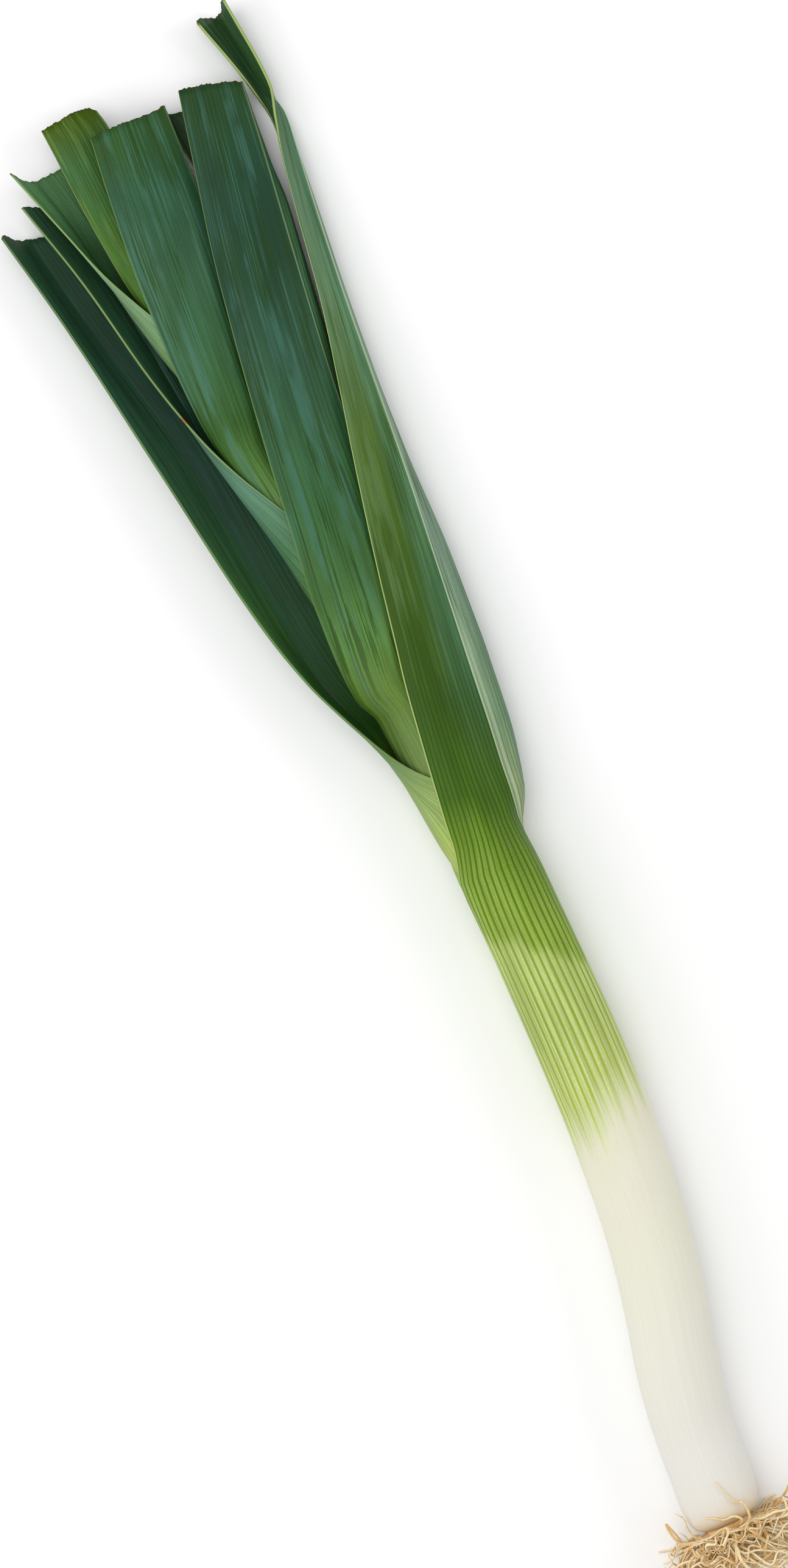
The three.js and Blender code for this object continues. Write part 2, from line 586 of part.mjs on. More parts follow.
// A low dome over the end of the shank, with its flat face towards the shank
function plateGeometry() {
  const skin = new Skin();
  const rings = PLATE_PROFILE.map(([depthShare, radiusShare]) => {
    const ring = [];
    for (let i = 0; i < PLATE_SIDES; i += 1) {
      const turn = (2 * Math.PI * i) / PLATE_SIDES;
      const radius = PLATE_RADIUS * radiusShare;
      const y = PLATE_Y + radius * Math.cos(turn);
      const z = PLATE_Z + radius * Math.sin(turn);
      ring.push(new THREE.Vector3(PLATE_X - PLATE_DEPTH * depthShare, y, z));
    }
    return [...ring, ring[0]];
  });
  for (let i = 0; i < rings.length - 1; i += 1) {
    skin.strip(rings[i + 1], rings[i]);
  }
  skin.cap([...rings[0]].reverse());
  skin.cap(rings[rings.length - 1]);
  return skin.geometry(false);
}

function rootsGeometry() {
  const random = seededRandom(ROOT_SEED);
  let bunch = toSolid(plateGeometry());
  for (let i = 0; i < ROOT_COUNT; i += 1) {
    const angle = (2 * Math.PI * (i + ROOT_SPACING_PLAY * random())) / ROOT_COUNT;
    bunch = bunch.add(toSolid(rootGeometry(rootPath(random, angle))));
  }
  // A pocket that crossing roots close in comes out as a body of its own and is left out, which fills it
  const bodies = bunch.decompose().sort((one, other) => other.volume() - one.volume());
  return fromSolid(bodies[0]);
}

function surface(color, roughness) {
  return new THREE.MeshStandardMaterial({ color, roughness, metalness: 0 });
}

const ROOT_LOOK = surface('#c9a06a', 0.9);
const SHANK_LOOK = surface('#eef0dc', 0.45);
const LEAF_COLOURS = { 2: '#1f4a2c', 3: '#2f6350', 4: '#2b5a3c', 5: '#33694f', 6: '#3a6b35', 7: '#4f7a30' };
const LEAF_ROUGHNESS = 0.5;

const leek = new THREE.Group();
function place(name, geometry, look) {
  geometry.computeVertexNormals();
  const mesh = new THREE.Mesh(geometry, look);
  mesh.name = name;
  leek.add(mesh);
}

place('shank_leaf_1', shankGeometry(LEAVES[0]), SHANK_LOOK);
for (const leaf of LEAVES.slice(1)) {
  place(`leaf_${leaf.number}`, leafGeometry(leaf), surface(LEAF_COLOURS[leaf.number], LEAF_ROUGHNESS));
}
place('roots', rootsGeometry(), ROOT_LOOK);

const middle = new THREE.Box3().setFromObject(leek).getCenter(new THREE.Vector3());
leek.position.set(-middle.x, -middle.y, 0);
leek.updateMatrixWorld(true);

export default leek;
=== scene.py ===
# A leek lying on its side, seen from straight above.
# The solids of the leaves, shank and roots give the form. Here each leaf gets the same form with fine
# ribs, a ragged end, a raised keel and its own colours, and the root bunch gets its many thin roots.
import math

import bpy
import numpy as np
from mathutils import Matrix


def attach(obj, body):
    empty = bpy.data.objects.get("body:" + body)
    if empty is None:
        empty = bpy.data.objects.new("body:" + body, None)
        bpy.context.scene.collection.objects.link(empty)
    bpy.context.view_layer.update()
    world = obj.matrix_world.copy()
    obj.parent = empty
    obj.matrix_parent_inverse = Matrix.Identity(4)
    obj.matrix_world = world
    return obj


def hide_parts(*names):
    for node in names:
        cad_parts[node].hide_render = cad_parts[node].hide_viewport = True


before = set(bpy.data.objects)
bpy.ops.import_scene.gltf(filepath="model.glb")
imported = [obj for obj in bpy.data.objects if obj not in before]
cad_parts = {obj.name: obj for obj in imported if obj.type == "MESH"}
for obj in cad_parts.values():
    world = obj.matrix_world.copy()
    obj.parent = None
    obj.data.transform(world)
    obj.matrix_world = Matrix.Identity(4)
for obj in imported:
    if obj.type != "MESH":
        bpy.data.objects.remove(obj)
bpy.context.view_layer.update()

# Place of the leek's own tables in the model's frame, millimetres
SHIFT_X = -263.3144
SHIFT_Y = 1.4643
MM = 0.001

# Sizes of the leek, as in its solids, millimetres and degrees
SHEATH_TOP_RADIUS = 15.1
LEAF_PITCH = 1.6
SHEATH_CLEARANCE = 0.05
INNERMOST_RADIUS = 4.4
HALF_THICK = [0, 0.65, 0.55, 0.55, 0.5, 0.5, 0.45, 0.45]
MARGIN_THINNING = 0.3
AXIS_HEIGHT = 14.9
SOCKET_X = 205
SOCKET_GAP = 1.2
THROAT_X = 230
SLIT = 4
REST_SNAP = 0.3  # an underside lower than this is pressed flat on the surface
SHANK_LOW_RADIUS = 14.5
SHANK_FACETS = 18  # facets round the solid shank, whose flats lie on the surface
MAX_TURN = 4.2
CUT_ZONE = 24
BUNDLE_AXIS = [
    (200, -17.4), (230, -16.9), (240, -16.3), (250, -14.9), (260, -13.6), (272, -12.4), (285, -11.2),
    (300, -10.4), (320, -7.8), (350, -5), (400, 3), (440, 7.8), (480, 13),
]
SHANK = [
    (-13, 3.2, 9.4), (-11.4, 3.1, 12), (-8, 2.9, 13.6), (-3, 2.5, 14.5), (6, 1.9, 14.5), (20, 1.1, 14.5),
    (34, -0.8, 15), (50, -3.8, 15.4), (66, -7.6, 15.5), (82, -10.8, 15.4), (100, -13.6, 15.3),
    (120, -15.6, 15.5), (145, -17.1, 15.5), (175, -17.6, 15.5), (204, -17.4, 15.2),
]
SHEATH_PLACES = [
    205, 218, 230, 240, 245, 250, 253, 256, 262, 268, 275, 282, 290, 302, 312, 325, 338, 350, 362, 375,
    388, 400, 410, 420, 430, 440,
]

# Finer form that the solids leave out
RIBS = 17  # ribs in each wing
CELLS = 4 * RIBS  # facets from a margin to the keel
STEP = 3.0  # length of a facet along the leaf
RIB_HEIGHT = 0.06
KEEL_HEIGHT = 0.3
KEEL_WIDTH = 0.03
RAGGED = 0.28  # depth of the small teeth along a cut end
RAGGED_LENGTH = 5  # length of leaf that bends to follow the teeth
SHEATH_RIBS = 0.35  # height of the ribs on a sheath, as a share of those on a blade
INNER_RIBS = 0.6  # the same on the inner face
OPENING = (-30, 60)  # where ribs and keel reach full height, from the end of the sheath
REST_INNER = 0.05  # least height of the inner face
SHANK_END = (-13, -8)  # the rounded end of the shank, with stations close together
SHANK_END_STATIONS = 9
CAP_RINGS = 6
CAP_ACROSS = 0.5  # the ends of the shank take their looks from this place across
WELD = 1e4  # points closer than a millimetre over this are one
VEIN_STEPS = 4  # the veins even out over this many steps along the shank
VEIN_REACH = (70, 110)  # this far above the sheath the veins divide the wing evenly
FAR_FROM_CUT = 500


def smooth_table(places, values):
    """Smooth curves through rows of values that never swing past them, for arrays of places."""
    places = np.asarray(places, float)
    values = np.asarray(values, float)
    width = np.diff(places)[:, None]
    rise = np.diff(values, axis=0) / width
    slope = np.zeros_like(values)
    slope[0] = rise[0]
    slope[-1] = rise[-1]
    before, after = rise[:-1], rise[1:]
    w_before = 2 * width[1:] + width[:-1]
    w_after = width[1:] + 2 * width[:-1]
    same = before * after > 0
    safe_before = np.where(same, before, 1)
    safe_after = np.where(same, after, 1)
    mean = (w_before + w_after) / (w_before / safe_before + w_after / safe_after)
    slope[1:-1] = np.where(same, mean, 0)

    def at(x):
        i = np.clip(np.searchsorted(places, x, side="right") - 1, 0, len(places) - 2)
        w = (places[i + 1] - places[i])[..., None]
        t = (x - places[i])[..., None] / w
        s = 1 - t
        return ((1 + 2 * t) * s * s * values[i] + t * s * s * w * slope[i]
                + t * t * (3 - 2 * t) * values[i + 1] - t * t * s * w * slope[i + 1])

    return at


axis_table = smooth_table([p[0] for p in BUNDLE_AXIS], [[p[1]] for p in BUNDLE_AXIS])


def leaf_side(number):
    return 1 if number % 2 else -1


def sheath_radius(number):
    if number == 7:
        return INNERMOST_RADIUS
    clearance = SHEATH_CLEARANCE if number > 1 else 0
    return SHEATH_TOP_RADIUS - HALF_THICK[1] - LEAF_PITCH * (number - 1) - clearance


def circle_row(x, y, z, radius, slit, side):
    margin = y + side * radius * math.cos(math.radians(slit))
    lift = radius * math.sin(math.radians(slit))
    halfway = 90 + side * 180
    front = (margin, z + lift, 90 + side * slit)
    back = (margin, z - lift, 90 + side * (360 - slit))
    return x, front, (y - side * radius, z, halfway, halfway), back


def sheath_row(number, x, slit=SLIT):
    y = float(axis_table(np.array(x))[0])
    return circle_row(x, y, AXIS_HEIGHT, sheath_radius(number), slit, leaf_side(number))


def sheath_rows(number, closed_to):
    return [sheath_row(number, x) for x in SHEATH_PLACES if x <= closed_to]


def shank_rows():
    ground = math.cos(math.pi / SHANK_FACETS)
    return [circle_row(x, y, max(radius, SHANK_LOW_RADIUS) * ground, radius - HALF_THICK[1], 0, 1)
            for x, y, radius in SHANK]


# Each leaf: where its sheath ends, its sections and its torn end
LEAVES = {
    1: dict(closed_to=THROAT_X, rows=[
        *shank_rows(),
        sheath_row(1, 218, 0), sheath_row(1, THROAT_X, 0), sheath_row(1, 236, 8),
        (240, [-3.2, 21, 115], [-30.75, 14.9, 270, 270], [-2.3, 11.4, 436]),
        (245, [-4.3, 23.9, 130], [-30.4, 15.2, 268, 262], [-2.5, 6.2, 418]),
        (250, [-5.3, 25.7, 138], [-30.4, 18.4, 262, 238], [-6, 1.8, 388]),
        (255, [-5.7, 26.6, 143], [-31.2, 19.4, 248, 214], [-12.5, 0.3, 361]),
        (260, [-6.2, 27.4, 149], [-32, 20, 235, 200], [-20, 0.4, 360]),
        (270, [-7.4, 28.4, 157], [-33, 20.5, 225, 195], [-28, 0.6, 360]),
        (285, [-9.4, 28.4, 160], [-34.8, 21, 215, 195], [-32, 0.65, 360]),
        (310, [-13, 28.2, 162], [-37.4, 21, 205, 195], [-34, 0.65, 360]),
        (325, [-15.8, 26.6, 166], [-39, 20.2, 204, 197], [-36, 0.65, 356]),
        (350, [-20.4, 23.6, 172], [-41.6, 18.5, 203, 200], [-38.5, 0.65, 350]),
        (390, [-28.7, 20.5, 176], [-45.4, 16, 200, 230], [-40, 0.65, 345]),
        (418, [-35, 18, 180], [-47.6, 14.5, 198, 240], [-42, 0.65, 340]),
        (450, [-41.7, 15.5, 185], [-50.2, 12, 198, 240], [-45.5, 0.65, 340]),
        (490, [-48, 12.5, 190], [-54.4, 9.5, 200, 245], [-50, 0.75, 335]),
        (505, [-50.7, 12, 200], [-56, 7.8, 212, 258], [-51.5, 0.9, 345]),
        (518, [-54, 12, 240], [-57, 5.2, 250, 310], [-52.6, 2.2, 385]),
        (530, [-57, 10, 275], [-54.5, 1.6, 285, 380], [-50.5, 7, 420]),
        (564, [-54, 12, 285], [-48.5, 1.6, 300, 395], [-40.8, 12, 425]),
    ], end=[(-1, 564), (-0.85, 564), (-0.5, 560.5), (0, 560), (0.4, 561.2), (0.8, 561.5), (1, 559.5)]),
    2: dict(closed_to=240, rows=[
        *sheath_rows(2, 240),
        (250, [-28, 17.4, 79], [-1.8, 14.8, -90, -90], [-28, 12.4, -259]),
        (262, [-24.5, 22.6, 55], [-0.5, 14.8, -90, -90], [-24.5, 7.2, -235]),
        (270, [-15.9, 27.3, 15], [0.2, 14.4, -90, -90], [-21.3, 4.7, -220]),
        (273, [-12.1, 27.9, -2], [0.6, 14, -91, -92], [-19.8, 4.6, -216]),
        (276, [-8.2, 27.2, -18], [0.9, 13.6, -92, -95], [-18.9, 4.1, -212]),
        (285, [-0.3, 24.8, -42], [2.6, 11.5, -92, -105], [-16.8, 3.2, -205]),
        (300, [8.1, 21.6, -85], [6.2, 5.5, -105, -152], [-15, 2.6, -196]),
        (312, [13.6, 21, -90], [11.2, 3.2, -110, -168], [-14, 2, -187]),
        (323, [18.1, 20.5, -92], [15, 1.7, -112, -177], [-13, 1.5, -183]),
        (350, [25.5, 20, -103], [19.5, 1.2, -130, -179], [-10, 1.5, -182]),
        (418, [36.7, 18, -113], [26.5, 0.8, -135, -179], [-2, 1.5, -182]),
        (480, [46.6, 15, -120], [40, 0.8, -138, -178], [12, 1.5, -181]),
        (519, [54.6, 12.5, -125], [46.8, 0.8, -142, -178], [22, 1.5, -181]),
    ], end=[(-1, 517.3), (-0.9, 518.5), (-0.6, 516), (-0.3, 514.6), (0, 514.3), (0.2, 513.2), (0.35, 514.5),
            (1, 514)]),
    3: dict(closed_to=290, rows=[
        *sheath_rows(3, 290),
        sheath_row(3, 302, 8),
        (312, [5, 17.5, 102], [-22, 14.8, 258, 278], [2.3, 10.2, 428]),
        (325, [5.9, 20.2, 118], [-25.5, 14.7, 240, 284], [0.5, 5.5, 396]),
        (333, [5.8, 21.2, 124], [-27, 14.5, 235, 278], [-3, 4.1, 380]),
        (340, [5.5, 22.2, 130], [-28, 14.4, 230, 274], [-7, 3.9, 368]),
        (350, [5, 23, 136], [-29.2, 14.4, 226, 266], [-10, 3.8, 362]),
        (365, [3.4, 24.6, 146], [-30.2, 14.4, 223, 256], [-14, 3.6, 358]),
        (380, [1.6, 26.3, 158], [-31, 14.4, 220, 248], [-17, 3.4, 356]),
        (395, [-0.1, 25.8, 162], [-31.8, 14.4, 218, 236], [-19, 3.2, 356]),
        (410, [-2, 24.4, 163], [-32.7, 14.5, 216, 225], [-20, 3, 356]),
        (450, [-7.7, 21.7, 170], [-37.1, 14.3, 212, 202], [-22, 2.8, 356]),
        (485, [-13.7, 18.6, 174], [-41.6, 13.4, 209, 206], [-21.5, 2.7, 356]),
        (505, [-18, 17.2, 176], [-44.2, 12.4, 207, 235], [-20.5, 2.6, 356]),
        (541, [-25.8, 14.6, 178], [-48.4, 10.5, 204, 262], [-16.5, 2.5, 356]),
    ], end=[(-1, 540.3), (-0.75, 539.4), (-0.4, 537.4), (-0.2, 536), (0, 534.3), (0.3, 533), (0.7, 532),
            (1, 536)]),
    4: dict(closed_to=338, rows=[
        *sheath_rows(4, 338),
        sheath_row(4, 345, 8),
        (352, [-14.1, 17.5, 72], [5, 14.9, -90, -90], [-14.1, 12.3, -255]),
        (358, [-12.2, 19.8, 61], [6.1, 14.4, -93, -93], [-12.5, 9.8, -241]),
        (365, [-10, 21.3, 50], [7.1, 13.8, -98, -98], [-10.2, 8.5, -228]),
        (375, [-4.4, 24, 22], [8.6, 12.6, -104, -104], [-7.6, 7.2, -216]),
        (383, [0, 24.6, 2], [10.2, 11.8, -104, -110], [-5.8, 6.6, -210]),
        (390, [3.8, 24.4, -14], [11.7, 10.8, -104, -116], [-4.2, 6.1, -205]),
        (405, [11.6, 22.4, -46], [15, 8.8, -104, -134], [-2.2, 5.3, -199]),
        (420, [17.8, 20.4, -80], [17.8, 7, -108, -152], [-0.6, 4.7, -195]),
        (447, [25.5, 18.4, -100], [20.8, 4.4, -115, -172], [2, 3.8, -188]),
        (490, [34.1, 16, -112], [26.5, 3.2, -130, -177], [8, 3.4, -184]),
        (525, [43.3, 13.8, -120], [33.5, 3, -140, -178], [14, 3.3, -182]),
    ], end=[(-1, 524.5), (-0.7, 524), (-0.4, 522.3), (0, 522), (1, 521)]),
    5: dict(closed_to=388, rows=[
        *sheath_rows(5, 388),
        sheath_row(5, 396, 10),
        (410, [13.2, 17.2, 105], [-4.8, 14.8, 258, 275], [11.8, 12.1, 432]),
        (420, [14.9, 18.3, 117], [-7.2, 14.6, 243, 280], [10.5, 8.8, 408]),
        (430, [15.9, 19.4, 128], [-9.4, 14.4, 232, 280], [8.2, 7.3, 388]),
        (450, [16.5, 21, 142], [-12.2, 13.8, 223, 268], [2.6, 6, 366]),
        (470, [16.1, 21.6, 148], [-14.4, 13.2, 219, 262], [-1, 5.6, 362]),
        (480, [15.8, 21.2, 150], [-15.4, 12.8, 218, 258], [-3, 5.4, 362]),
        (510, [13.4, 19.2, 158], [-17.4, 12, 215, 255], [-7, 5, 360]),
        (538, [10.2, 18, 162], [-18.3, 11.5, 212, 252], [-9, 4.7, 360]),
    ], end=[(-1, 537), (-0.6, 537.2), (-0.25, 536.7), (0, 537.8), (0.5, 536), (1, 536)]),
    6: dict(closed_to=420, rows=[
        *sheath_rows(6, 420),
        sheath_row(6, 436, 10),
        (446, [3, 17.6, 68], [16.2, 14.6, -90, -92], [3.4, 11.4, -248]),
        (453, [7, 20.7, 36], [18.2, 13.8, -90, -96], [4.8, 9.8, -232]),
        (460, [11, 21.2, 4], [19.8, 12.6, -92, -100], [6.4, 8.8, -215]),
        (475, [19.2, 19.8, -34], [23, 10.6, -95, -112], [9, 7.6, -205]),
        (490, [26.2, 18.6, -66], [25.8, 8.8, -100, -135], [11.4, 6.8, -199]),
        (510, [33, 17.4, -94], [29.4, 7, -110, -160], [14.6, 6.2, -192]),
        (538, [42.1, 15.4, -108], [36.4, 6, -125, -172], [20, 5.8, -186]),
    ], end=[(-1, 537.5), (-0.7, 534), (-0.35, 532), (0, 531.8), (0.5, 532.5), (1, 532)]),
    7: dict(closed_to=440, rows=[
        *sheath_rows(7, 440),
        sheath_row(7, 446, 6), sheath_row(7, 455, 12),
        (470, [16.9, 16, 112], [6.6, 14.4, 258, 270], [14.8, 12, 424]),
        (480, [19.4, 16.2, 134], [5.2, 13.8, 242, 274], [14.4, 10.6, 402]),
        (500, [22, 15.8, 154], [3.8, 12.4, 222, 268], [12, 9.4, 378]),
        (520, [23.7, 15, 162], [3.2, 11.4, 212, 260], [10.2, 8.6, 368]),
        (538, [24.8, 14.4, 164.5], [3.3, 10.8, 209.5, 257.5], [10.3, 8.35, 364.5]),
        (549, [25.6, 14, 166], [5.6, 10.4, 208, 256], [10.8, 8.2, 362]),
    ], end=[(-1, 547), (-0.7, 547.8), (-0.3, 548.4), (-0.06, 548.2), (0, 546), (0.3, 543), (1, 541)]),
}


def wing(start, heading_in, end, heading_out, t):
    """Points and directions at t on the curve of one wing, for arrays of sections."""
    turn = np.minimum(np.radians(np.abs(heading_out - heading_in)), MAX_TURN)
    handle = (np.linalg.norm(end - start, axis=-1) / (3 * np.cos(turn / 4) ** 2))[..., None]
    a, b = np.radians(heading_in), np.radians(heading_out)
    p1 = start + handle * np.stack([np.cos(a), np.sin(a)], -1)
    p2 = end - handle * np.stack([np.cos(b), np.sin(b)], -1)
    t = t[..., None]
    s = 1 - t
    point = s ** 3 * start + 3 * s * s * t * p1 + 3 * s * t * t * p2 + t ** 3 * end
    slope = 3 * s * s * (p1 - start) + 6 * s * t * (p2 - p1) + 3 * t * t * (end - p2)
    return point, slope / np.linalg.norm(slope, axis=-1)[..., None]


def smoothstep(low, high, value):
    t = np.clip((value - low) / (high - low), 0, 1)
    return t * t * (3 - 2 * t)


def value_noise(x, seed):
    """Smooth noise from -1 to 1 along a line."""
    table = np.random.default_rng(seed).uniform(-1, 1, 512)
    i = np.floor(x).astype(int)
    t = smoothstep(0, 1, x - i)
    return table[i % 512] * (1 - t) + table[(i + 1) % 512] * t


class Leaf:
    def __init__(self, number):
        self.number = number
        self.side = leaf_side(number)
        self.half = HALF_THICK[number]
        data = LEAVES[number]
        self.closed_to = data["closed_to"]
        self.end_across, self.end_x = np.array(data["end"], float).T
        self.top = float(self.end_x.max())
        rows = data["rows"]
        self.table_start = rows[0][0]
        self.table = smooth_table(
            [r[0] for r in rows], [[*front, *keel, *back] for _, front, keel, back in rows])

    def middle(self, x, across):
        v = self.table(x)
        fy, fz, fh, ky, kz, k_in, k_out, by, bz, bh = np.moveaxis(v, -1, 0)
        front, keel, back = (np.stack(p, -1) for p in ((fy, fz), (ky, kz), (by, bz)))
        pf, tf = wing(front, fh, keel, k_in, np.clip(1 + across, 0, 1))
        pb, tb = wing(keel, k_out, back, bh, np.clip(across, 0, 1))
        blend = smoothstep(-0.02, 0.02, across)[..., None]
        point = np.where((across < 0)[..., None], pf, pb)
        along = tf * (1 - blend) + tb * blend
        along /= np.linalg.norm(along, axis=-1)[..., None]
        return point, self.side * np.stack([along[..., 1], -along[..., 0]], -1)

    def veins(self, stations, across):
        """Which vein runs through each point, as the place across the leaf where that vein starts."""
        even = np.tile(across, (len(stations), 1))
        if self.side < 0:
            return even
        front = across <= 0
        reach_low, reach_high = (self.closed_to + r for r in VEIN_REACH)

        def shares(places):
            side, _ = self.middle(*np.meshgrid(places, across[front], indexing="ij"))
            side = side[..., 0]
            return (side - side[:, -1:]) / (side[:, :1] - side[:, -1:])

        full = np.arange(self.table_start, reach_high + STEP, STEP)
        reach = 3 * VEIN_STEPS
        weights = np.exp(-0.5 * (np.arange(-reach, reach + 1) / VEIN_STEPS) ** 2)
        weights /= weights.sum()
        padded = np.pad(shares(full), ((reach, reach), (0, 0)), mode="edge")
        smooth = sum(w * padded[k:k + len(full)] for k, w in enumerate(weights))
        smooth = np.stack([np.interp(stations, full, column) for column in smooth.T], -1)
        veins = even.copy()
        for i, share in enumerate(shares(stations)):
            rising = np.maximum.accumulate(smooth[i][::-1])
            veins[i, front] = np.interp(share, rising, across[front][::-1])
        keep = smoothstep(reach_low, reach_high, stations)[:, None]
        return veins * (1 - keep) + even * keep

    def walls(self, stations, across, closed=False):
        """Outer and inner faces as arrays (station, place across, xyz) in millimetres."""
        st, ac = np.meshgrid(stations, across, indexing="ij")
        bend = smoothstep(self.top - CUT_ZONE, self.top, st)
        end = np.interp(ac, self.end_across, self.end_x)
        teeth = value_noise(ac * 11 + 40, 100 + self.number) + value_noise(ac * 37 + 90, 200 + self.number)
        fray = smoothstep(self.top - RAGGED_LENGTH, self.top, st) * RAGGED * teeth
        x = st + (end - self.top) * bend + fray
        point, normal = self.middle(x, ac)
        wall = self.half * (1 if closed else 1 - MARGIN_THINNING * ac * ac)
        open_part = smoothstep(self.closed_to + OPENING[0], self.closed_to + OPENING[1], x)
        rib = RIB_HEIGHT * np.cos(2 * np.pi * RIBS * self.veins(stations, across))
        rib = rib * (SHEATH_RIBS + (1 - SHEATH_RIBS) * open_part)
        keel = KEEL_HEIGHT * np.exp(-((ac / KEEL_WIDTH) ** 2)) * open_part
        outer = point + (wall + rib + keel)[..., None] * normal
        inner = point - (wall + INNER_RIBS * rib)[..., None] * normal
        outer = np.concatenate([x[..., None], outer], -1)
        inner = np.concatenate([x[..., None], inner], -1)
        low = outer[..., 2] < REST_SNAP
        outer[..., 2] = np.where(low, 0.0, outer[..., 2])
        inner[..., 2] = np.maximum(inner[..., 2], REST_INNER)
        return outer, inner


def add_object(name, data):
    thing = bpy.data.objects.new(name, data)
    bpy.context.scene.collection.objects.link(thing)
    return thing


def add_piece(name, points, faces, marks):
    """A smooth mesh from points in millimetres, with a value at each point for each mark."""
    points = (points + np.array([SHIFT_X, SHIFT_Y, 0])) * MM
    mesh = bpy.data.meshes.new(name)
    mesh.from_pydata(points.tolist(), [], faces)
    for mark, values in marks.items():
        layer = mesh.attributes.new(mark, "FLOAT", "POINT")
        layer.data.foreach_set("value", np.ascontiguousarray(values, dtype=np.float32))
    mesh.polygons.foreach_set("use_smooth", [True] * len(mesh.polygons))
    mesh.update()
    return add_object(name, mesh)


class Skin:
    """Gathers patches of points into one closed mesh with shared corners."""

    def __init__(self):
        self.points, self.marks, self.faces = [], [], []
        self.count = 0

    def grid(self, points, across, face, flip=False, vein=None, tip=FAR_FROM_CUT):
        """A patch of four-sided facets. face is 0 for the outer side of a leaf and 1 for the inner one,
        tip the distance to the leaf's cut end."""
        n, m = points.shape[:2]
        ids = self.count + np.arange(n * m).reshape(n, m)
        self.points.append(points.reshape(-1, 3))
        values = (across, points[..., 0], face, across if vein is None else vein, tip)
        self.marks.append(np.stack([np.broadcast_to(v, (n, m)).reshape(-1) for v in values], -1))
        quads = np.stack([ids[:-1, :-1], ids[:-1, 1:], ids[1:, 1:], ids[1:, :-1]], -1).reshape(-1, 4)
        self.faces.extend((quads[:, ::-1] if flip else quads).tolist())
        self.count += n * m

    def cap(self, ring, face, flip=False):
        ring = ring[:-1]
        middle = ring.mean(0, keepdims=True)
        for k in range(CAP_RINGS):
            a = middle + (ring - middle) * (1 - k / CAP_RINGS)
            b = middle + (ring - middle) * (1 - (k + 1) / CAP_RINGS)
            band = np.stack([np.vstack([a, a[:1]]), np.vstack([b, b[:1]])])
            self.grid(band, CAP_ACROSS, face, flip)

    def mesh(self, name, mirrored):
        points = np.concatenate(self.points)
        marks = np.concatenate(self.marks)
        keys = np.round(points * WELD).astype(np.int64)
        _, first, where = np.unique(keys, axis=0, return_index=True, return_inverse=True)
        where = where.reshape(-1)
        points, marks = points[first], marks[first]
        faces = []
        for quad in self.faces:
            corners = []
            for corner in quad:
                c = int(where[corner])
                if c not in corners:
                    corners.append(c)
            if len(corners) > 2:
                faces.append(corners[::-1] if mirrored else corners)
        labels = ("across", "along", "inside", "vein", "tip")
        return add_piece(name, points, faces, dict(zip(labels, marks.T)))


def spread(low, high):
    return np.linspace(low, high, max(2, int(round((high - low) / STEP)) + 1))


def leaf_piece(number):
    leaf = Leaf(number)
    across = np.linspace(-1, 1, 2 * CELLS + 1)
    skin = Skin()
    if number == 1:
        shank = np.concatenate([
            np.linspace(*SHANK_END, SHANK_END_STATIONS)[:-1], spread(SHANK_END[1], SOCKET_X)[:-1],
            spread(SOCKET_X, THROAT_X)])
        outer, _ = leaf.walls(shank, across, True)
        outer[:, -1] = outer[:, 0]
        skin.grid(outer, across, 0, True, leaf.veins(shank, across))
        skin.cap(outer[0], 0)
        socket = np.concatenate([[SOCKET_X - SOCKET_GAP], spread(SOCKET_X, THROAT_X)])
        _, mouth = leaf.walls(socket, across, True)
        mouth[:, -1] = mouth[:, 0]
        skin.grid(mouth, across, 1)
        skin.cap(mouth[0], 1, True)
        stations = spread(THROAT_X, leaf.top)
        o, i = leaf.walls(stations, across)
        o_closed, i_closed = leaf.walls(stations[:1], across, True)
        o[0], i[0] = o_closed[0], i_closed[0]
        o[0, -1], i[0, -1] = o[0, 0], i[0, 0]
    else:
        stations = spread(SOCKET_X, leaf.top)
        o, i = leaf.walls(stations, across)
        skin.grid(np.stack([i[0], o[0]]), across, 0, True)
    tip = leaf.top - stations
    veins = leaf.veins(stations, across)
    skin.grid(o, across, 0, True, veins, tip[:, None])
    skin.grid(i, across, 1, False, veins, tip[:, None])
    skin.grid(np.stack([o[:, 0], i[:, 0]]), -1, 0, True, tip=tip)
    skin.grid(np.stack([i[:, -1], o[:, -1]]), 1, 0, True, tip=tip)
    skin.grid(np.stack([o[-1], i[-1]]), across, 0.5, True, tip=0)
    return skin.mesh(f"leaf_{number}_fine" if number > 1 else "shank_fine", leaf.side < 0)


# Roots: the same bunch as in the solids, then many thinner ones round it
PLATE_X = -13.3
PLATE_DEPTH = 5
PLATE_RADIUS = 8.6
PLATE_Y = 3.2
PLATE_Z = 14.3
PLATE_SIDES = 40
PLATE_PROFILE = [(0, 1), (1.2, 1.02), (2.3, 1), (3.3, 0.9), (4.2, 0.72), (4.8, 0.45), (5, 0.2)]
# the root plate takes a dark brown from the root colours: painted shade for the deep shade round the plate's
# edge
PLATE_SHADE_TONE = 0.9
ROOT_COUNT = 46
ROOT_PLAY = 0.8  # share of the spacing by which a root can be off its place
ROOT_RADIUS = 0.95
ROOT_SEED = 14
ROOT_LEAN = (0.35, -0.4)
ROOT_START_BACK = -0.6  # how far a root points away from the shank where it starts
ROOT_OUTWARD = 0.4
ROOT_LEFT, ROOT_RIGHT, ROOT_BACK, ROOT_TOP = 31, -27, -37, 40
ROOT_LIFT = 0.1  # room between a root and the surface
ROOT_LOWEST = 0.02
ROOT_FLAT, ROOT_LUMPS, ROOT_TAPER, ROOT_TWIST = 0.75, 0.12, 1.3, 1.4
SHANK_RADIUS_KEPT = 18.5  # inside this distance of the plate's axis a root stays behind the shank's end
SHANK_ROOM = 1.8  # by this much
THICK_SIZE = (0.85, 0.4)  # radius of a root at its foot and its tip
LOOSE_SIZE = (0.62, 0.22)
